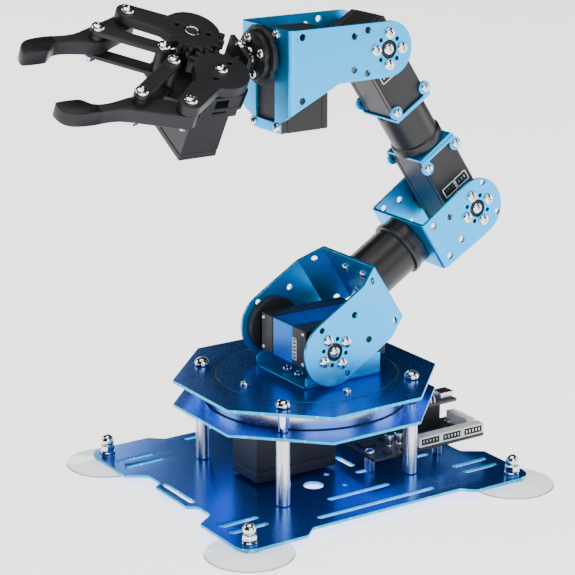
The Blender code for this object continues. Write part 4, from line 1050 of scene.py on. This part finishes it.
def gear_arm_outline(side, phase):
    """A toothed sector facing the other gear, an arm to the outer pivot, and a plain rim behind."""
    pitch = 360.0 / GEAR_TEETH
    flank = ((-2.3, 1.72), (-1.2, 1.5), (0.0, 1.2), (0.9, 0.86), (1.5, 0.6))
    towards, points = -90.0 * side, []
    count = 3 + phase
    for k in range(int(2 * count) + 1):
        centre = towards + side * (k - count) * pitch
        up = [(GEAR_PITCH_R + dr, -half) for dr, half in flank]
        down = [(GEAR_PITCH_R + dr, half) for dr, half in reversed(flank)]
        for radius, half in up + down:
            angle = math.radians(centre) + side * math.atan2(half, radius)
            points.append((radius * math.cos(angle), radius * math.sin(angle)))
    u = Vector((math.cos(ARM_ANGLE), side * math.sin(ARM_ANGLE)))
    n = Vector((-math.sin(ARM_ANGLE), side * math.cos(ARM_ANGLE)))
    tip, end_r, root_w = u * ARM_LEN, 6.4, 7.0
    points.append(tuple(u * 16.5 - n * root_w))
    points += half_round(tip, u, n, end_r, -math.pi / 2, 16)
    shoulder_point = u * 15.2 + n * root_w
    points.append(tuple(shoulder_point))
    first = math.degrees(math.atan2(shoulder_point.y, shoulder_point.x)) * side
    last = 270.0 - (count * pitch + 9.0)
    for i in range(1, 25):
        a = math.radians(side * (first + (last - first) * i / 24))
        points.append((16.2 * math.cos(a), 16.2 * math.sin(a)))
    return points


def pivot_stack(name, at, body, foot, head):
    """A pivot's screw head on top, its threaded end below and a hexagon nut."""
    x, y = at
    screw(name + "_head", HAND, body, (x, y, head), (0, 0, 1), *PIVOT_SCREW)
    outline = rounded(circle(x, y, 3.3, 6), 0.4, 2)
    place(name + "_nut", sheet_mesh(outline, [], foot - 2.6, foot, 0.3), HAND, body, ["chrome", "chrome"])
    thread = [(0, foot - 4.2), (1.5, foot - 4.2)]
    for k in range(3):
        thread += [(1.9, foot - 4.0 + 0.5 * k), (1.6, foot - 3.75 + 0.5 * k)]
    thread += [(1.9, foot - 2.4), (0, foot - 2.4)]
    place(name + "_thread", turned_mesh(thread, 24, at=(x, y, 0)), HAND, body, ["chrome"])


def stadium(x0, y0, x1, y1, r, steps=14):
    angle = math.degrees(math.atan2(y1 - y0, x1 - x0))
    return arc(x1, y1, r, angle - 90, angle + 90, steps) + arc(x0, y0, r, angle + 90, angle + 270, steps)


def finger_outline():
    """Plan of a finger about its outer pivot, X forwards and Y outwards."""
    ahead = Vector((INNER_AHEAD, -(GEAR_PITCH_R - INNER_SIDE)))
    u = ahead.normalized()
    n = Vector((-u.y, u.x))
    points = half_round(Vector((0, 0)), u, n, 6, math.pi / 2, 12) + [tuple(ahead - n * 6)]
    palm = [(29.0, -15.4), (37.0, -13.6), (44.0, -12.9), (49.3, -13.4), (52.0, -15.4), (54.2, -17.9),
            (56.6, -18.8), (68.4, -18.8)]
    back = [(69.4, -17.6), (69.0, -13.6), (67.2, -10.0), (63.4, -7.4), (58.0, -6.5), (50.6, -6.2),
            (42.6, -6.9), (35.8, -6.7), (30.4, -5.2)]
    return points + palm + back


def smooth_outline(points, keep, passes=2):
    """Rounds the outline from point number keep on by cutting corners."""
    for _ in range(passes):
        head, tail = points[:keep], points[keep:]
        cut = [tail[0]]
        for a, b in zip(tail, tail[1:]):
            a, b = Vector(a), Vector(b)
            cut += [tuple(a * 0.75 + b * 0.25), tuple(a * 0.25 + b * 0.75)]
        points = head + cut + [tail[-1]]
    return points


def build_gripper():
    tip = Vector((ARM_LEN * math.cos(ARM_ANGLE), ARM_LEN * math.sin(ARM_ANGLE)))
    for side, name, node, phase in ((1, "front", "drive_gear_arm", 0.0),
                                    (-1, "rear", "idler_gear_arm", 0.5)):
        gear_body = "drive_gear" if side > 0 else "idler_gear"
        link_body, jaw_body = "link_" + name, "jaw_" + name
        middle = moved(HAND, 0, side * GEAR_PITCH_R)
        holes = [circle(tip.x, side * tip.y, 2.4, 24), circle(0, 0, 2.4 if side > 0 else 4.7, 36)]
        for a in (0.75 * side, math.pi + 0.55 * side):
            holes.append(circle(9 * math.cos(a), 9 * math.sin(a), 1.4, 20))
        arm = sheet_mesh(gear_arm_outline(side, phase), holes, GEAR_TOP - GEAR_T, GEAR_TOP, 0.35)
        place(node + "_plate", arm, middle, gear_body, ["gear", "gear"], [node])
        outer = (tip.x, side * (GEAR_PITCH_R + tip.y))
        inner = (INNER_AHEAD, side * INNER_SIDE)
        finger = (outer[0] + INNER_AHEAD, outer[1] - side * (GEAR_PITCH_R - INNER_SIDE))
        pivot_stack("outer_pivot_" + name, outer, jaw_body, FINGER_TOP - FINGER_T, GEAR_TOP)
        pivot_stack("finger_pivot_" + name, finger, jaw_body, LINK_LOW - BAR_T, GEAR_TOP)
        for tag, z0, z1 in (("top", GEAR_TOP - 3.0, GEAR_TOP), ("low", LINK_LOW - BAR_T, LINK_LOW)):
            bar = sheet_mesh(stadium(*inner, *finger, 4.0),
                             [circle(*inner, 2.3, 24), circle(*finger, 2.3, 24)], z0, z1, 0.3)
            place("link_%s_%s_bar" % (name, tag), bar, HAND, link_body, ["gear", "gear"],
                  ["inner_link_" + name] if tag == "top" else [])
        sleeve = [(2.3, LINK_LOW - BAR_T + 0.4), (3.7, LINK_LOW - BAR_T + 0.4), (3.7, GEAR_TOP - 0.4),
                  (2.3, GEAR_TOP - 0.4)]
        place("link_%s_sleeve" % name, turned_mesh(sleeve, 32, at=(*inner, 0)), HAND, link_body, ["gear"])
        plan = smooth_outline(finger_outline(), 14)
        plan = [(x, side * y) for x, y in plan]
        place_at = moved(HAND, *outer)
        pads = [circle(0, 0, 2.4, 24), circle(INNER_AHEAD, -side * (GEAR_PITCH_R - INNER_SIDE), 2.4, 24)]
        body = sheet_mesh([p for p in plan if p[0] < 60.0], pads, FINGER_TOP - FINGER_T, FINGER_TOP, 0.6)
        place("finger_%s_body" % name, body, place_at, jaw_body, ["gear", "gear"], ["finger_" + name])
        sock = [(x - 0.25, y) for x, y in inset([p for p in plan if p[0] > 47.0], -0.2, False)]
        sock = sheet_mesh(sock, [], FINGER_TOP - FINGER_T - 0.2, FINGER_TOP + 0.2, 0.9)
        place("finger_%s_pad" % name, sock, place_at, jaw_body, ["rubber", "rubber"])
        collar = [(2.4, FINGER_TOP), (3.9, FINGER_TOP), (3.9, GEAR_TOP - 3.3), (2.4, GEAR_TOP - 3.3)]
        place("finger_%s_collar" % name, turned_mesh(collar, 32, at=(*finger, 0)), HAND, jaw_body, ["gear"])
    build_gripper_frame()


def build_gripper_frame():
    low = sheet_mesh(rounded([(-24.5, -15), (-14, -24.5), (8, -24.5), (29, -11), (29, 11), (8, 27.9),
                              (-13, 27.9), (-24.5, 15)], 3.0), [circle(0, GEAR_PITCH_R, 5.0, 32)],
                     FRAME_LOW - BAR_T, FRAME_LOW, 0.35)
    rear = box_mesh((-24.0, -11, FRAME_LOW - 0.5), (-21.0, 11, GEAR_TOP - 0.5), 0.6)
    wall = sheet_mesh([(-11.5, -21.0), (11.5, -21.0), (11.5, -6.5), (-11.5, -6.5)],
                      [[(-4.2, -17.6), (4.2, -17.6), (4.2, -8.8), (-4.2, -8.8)]], 25.4, 27.6, 0.4, XZ)
    parts = [rear, wall]
    pins = [turned_mesh([(0, FRAME_LOW - 1), (1.95, FRAME_LOW - 1), (1.95, GEAR_TOP + 0.2),
                         (0, GEAR_TOP + 0.2)], 24, at=(INNER_AHEAD, y, 0))
            for y in (-INNER_SIDE, INNER_SIDE)]
    hub = turned_mesh([(0, FRAME_LOW - 1), (4.3, FRAME_LOW - 1), (4.3, GEAR_TOP - 1.4),
                       (3.9, GEAR_TOP - 1.0), (0, GEAR_TOP - 1.0)], 40, at=(0, -GEAR_PITCH_R, 0))
    whole = carve(low, adds=parts + pins + [hub])
    place("gripper_frame_body", whole, HAND, "hand", ["gear", "gear"], ["gripper_frame"], 40)
    neck = box_mesh((-33.5, -7.5, -9.0), (-23.0, 8.5, 1.2), 1.2)
    place("gripper_neck", neck, HAND, "hand", ["gear"])
    for i, (x, y) in enumerate(((-22.6, -1.4), (-29.4, 0.1), (-25.0, 7.4))):
        z = GEAR_TOP - 0.5 if i == 0 else 1.2
        screw("gripper_neck_screw_%d" % (i + 1), HAND, "hand", (x, y, z), (0, 0, 1), 2.9, 2.2)
    points = [(INNER_AHEAD, y, GEAR_TOP + 0.2) for y in (-INNER_SIDE, INNER_SIDE)]
    screws("inner_pivot", HAND, "hand", points, (0, 0, 1), *PIVOT_SCREW)
    bearing = [(3.4, GEAR_TOP - 1.2), (4.2, GEAR_TOP - 1.2), (4.2, GEAR_TOP - 0.5), (4.0, GEAR_TOP - 0.3),
               (3.6, GEAR_TOP - 0.3), (3.4, GEAR_TOP - 0.5)]
    place("idler_bearing", turned_mesh(bearing, 48, at=(0, -GEAR_PITCH_R, 0)), HAND, "hand", ["chrome"])
    horn_shape = [(0, -11.8), (2.6, -11.8), (2.6, FINGER_TOP - 2.6), (8.2, FINGER_TOP - 2.6),
                  (8.6, FINGER_TOP - 2.2), (8.6, FINGER_TOP), (2.0, FINGER_TOP), (2.0, GEAR_TOP),
                  (0, GEAR_TOP)]
    place("gripper_horn_disc", turned_mesh(horn_shape, 48, at=(0, GEAR_PITCH_R, 0)), HAND, "drive_gear",
          ["satin"], ["gripper_horn"])
    screw("drive_gear_screw", HAND, "drive_gear", (0, GEAR_PITCH_R, GEAR_TOP), (0, 0, 1), *PIVOT_SCREW)
    x0, x1, y0, y1, z0, z1 = -9.8, 14.2, -22.5, 24.3, -52.5, -16.6
    case = box_mesh((x0, y0, z0 + 4.4), (x1, y1, z1 - 6.2), 0.7, 3)
    box_mesh((x0, y0, z0), (x1, y1, z0 + 4.05), 0.9, 4, bm=case)
    box_mesh((x0, y0, z1 - 5.85), (x1, y1, z1), 0.9, 4, bm=case)
    box_mesh((x0 + 0.45, y0 + 0.45, z0 + 2), (x1 - 0.45, y1 - 0.45, z1 - 2), 0.2, 1, bm=case)
    turned_mesh([(0, z1 - 2), (4.5, z1 - 2), (4.5, z1 + 4.2), (0, z1 + 4.2)], 32, bm=case,
                at=(0, GEAR_PITCH_R, 0))
    place("gripper_servo_shell", case, HAND, "hand", ["plastic"], ["gripper_servo"], 35, weld=False)


# ------------------------------------------------------------------ last touches
def square_up():
    """Re-frames square to the world each tilted piece whose own box leaves the arm's box.
    Its surface stays where it is."""
    low, high = Vector(CAD_BOX[0]), Vector(CAD_BOX[1])
    for obj in PIECES:
        corners = [obj.matrix_world @ Vector(c) for c in obj.bound_box]
        if all(low[i] <= c[i] <= high[i] for c in corners for i in range(3)):
            continue
        obj.data = obj.data.copy()
        place_at = Matrix.Translation(obj.matrix_world.translation)
        obj.data.transform(place_at.inverted() @ obj.matrix_world)
        obj.matrix_world = place_at


def dress_node(name, look):
    obj = frame["nodes"][name]
    obj.data.materials.clear()
    obj.data.materials.append(MATS[look])


# ------------------------------------------------------------------ studio
FLOOR_GLOW = 2.0  # lifts the floor to the pale backdrop of a product studio


def area_light(name, at, towards, size, power, colour=(1, 1, 1)):
    data = bpy.data.lights.new(name, "AREA")
    data.shape = "RECTANGLE"
    data.size, data.size_y = size
    data.energy = power
    data.color = colour
    lamp = bpy.data.objects.new(name, data)
    bpy.context.scene.collection.objects.link(lamp)
    lamp.location = at
    lamp.rotation_euler = (Vector(towards) - Vector(at)).to_track_quat("-Z", "Y").to_euler()


def build_world():
    """A room that is bright in front and overhead, and dim behind, so that metal shows both."""
    world = bpy.data.worlds.new("studio")
    world.use_nodes = True
    tree = world.node_tree
    coords = tree.nodes.new("ShaderNodeTexCoord")
    split = tree.nodes.new("ShaderNodeSeparateXYZ")
    level = tree.nodes.new("ShaderNodeMath")
    level.operation = "MAXIMUM"
    ramps = (("Y", 0.5, -0.9, 0.26, 0.72), ("Z", 0.35, 0.9, 0.0, 0.7))
    for i, (axis, low, high, dim, bright) in enumerate(ramps):
        node = tree.nodes.new("ShaderNodeMapRange")
        node.interpolation_type = "SMOOTHSTEP"
        node.inputs["From Min"].default_value = low
        node.inputs["From Max"].default_value = high
        node.inputs["To Min"].default_value = dim
        node.inputs["To Max"].default_value = bright
        tree.links.new(split.outputs[axis], node.inputs["Value"])
        tree.links.new(node.outputs["Result"], level.inputs[i])
    tree.links.new(coords.outputs["Generated"], split.inputs["Vector"])
    tree.links.new(level.outputs["Value"], tree.nodes["Background"].inputs["Strength"])
    bpy.context.scene.world = world


def build_studio():
    bm = bmesh.new()
    bmesh.ops.create_grid(bm, x_segments=2, y_segments=2, size=6.0)
    mesh = bpy.data.meshes.new("floor")
    bm.to_mesh(mesh)
    bm.free()
    floor = bpy.data.objects.new("floor", mesh)
    bpy.context.scene.collection.objects.link(floor)
    floor.location.z = -0.0002
    n = Nodes("pale_floor")
    n.link(n.blend_colours(n.noise(3.0, 2.0, stretched=False), (0.86, 0.86, 0.86), (0.9, 0.9, 0.9)),
           n.shader.inputs["Base Color"])
    n.set(Roughness=0.9, Emission_Color=(1, 1, 1, 1), Emission_Strength=FLOOR_GLOW)
    mesh.materials.append(n.mat)
    build_world()
    target = (0.0, 0.0, 0.12)
    area_light("key", (-0.2, -1.7, 0.7), target, (1.8, 1.2), 18)
    area_light("fill_right", (1.6, -0.7, 0.6), target, (1.0, 1.2), 12)
    area_light("top", (-0.2, -0.2, 1.9), target, (1.5, 1.5), 24)
    area_light("rim_back", (-1.2, 1.2, 0.8), target, (1.0, 0.7), 8)
    area_light("deck_sheen", (0.5, 1.9, 0.62), target, (0.8, 0.42), 4)

    data = bpy.data.cameras.new("camera")
    data.lens, data.sensor_width = 124.7, 36.0
    data.clip_end = 50
    camera = bpy.data.objects.new("camera", data)
    bpy.context.scene.collection.objects.link(camera)
    camera.location = BASE @ (Vector((-616.3, -915.3, 438.0)) * MM)
    camera.rotation_euler = (math.pi / 2 - 0.289, 0, -0.583)
    bpy.context.scene.camera = camera


# ------------------------------------------------------------------ build
build_base_plate()
build_feet()
build_decks()
build_base_servo()
build_controller()
build_turntable()
build_shoulder_servo()
for tag, side in (("front", -1), ("rear", 1)):
    for joint, matrix, body, inner, half, radius in (
            ("shoulder", UPPER, "upper_arm", 26.7, SHOULDER_HALF, 17.0),
            ("elbow", ELBOW_BACK, "upper_arm", CASE_H + 3.9, ELBOW_HALF, 11.0),
            ("wrist", WRIST, "wrist", CASE_H + 3.9, WRIST_HALF, 11.0)):
        node = "%s_horn_%s" % (joint, tag)
        horn("%s_%s_horn_disc" % (joint, tag), matrix, body, node, inner, half - SHEET_T - GAP, radius, side)
build_shoulder_bracket()
build_tube("upper_arm_tube_wall", UPPER, "upper_arm", "upper_arm_tube",
           [(51.8, 16.6), (52.2, 17.0), (53.6, 17.0), (54.0, 16.2), (54.4, 15.6), (79.2, 15.6), (79.5, 17.0),
            (79.9, 17.4), (82.5, 17.4), (82.9, 17.0), (83.2, 16.4), (89.0, 16.4), (89.4, 16.0)])
build_elbow_bracket()
build_forearm()
build_wrist()
build_roll_coupling()
build_gripper()
# Painted shade: the hub inside the drum takes the near-black shadow finish.
dress_node("turntable_hub", "dark")
build_studio()

square_up()
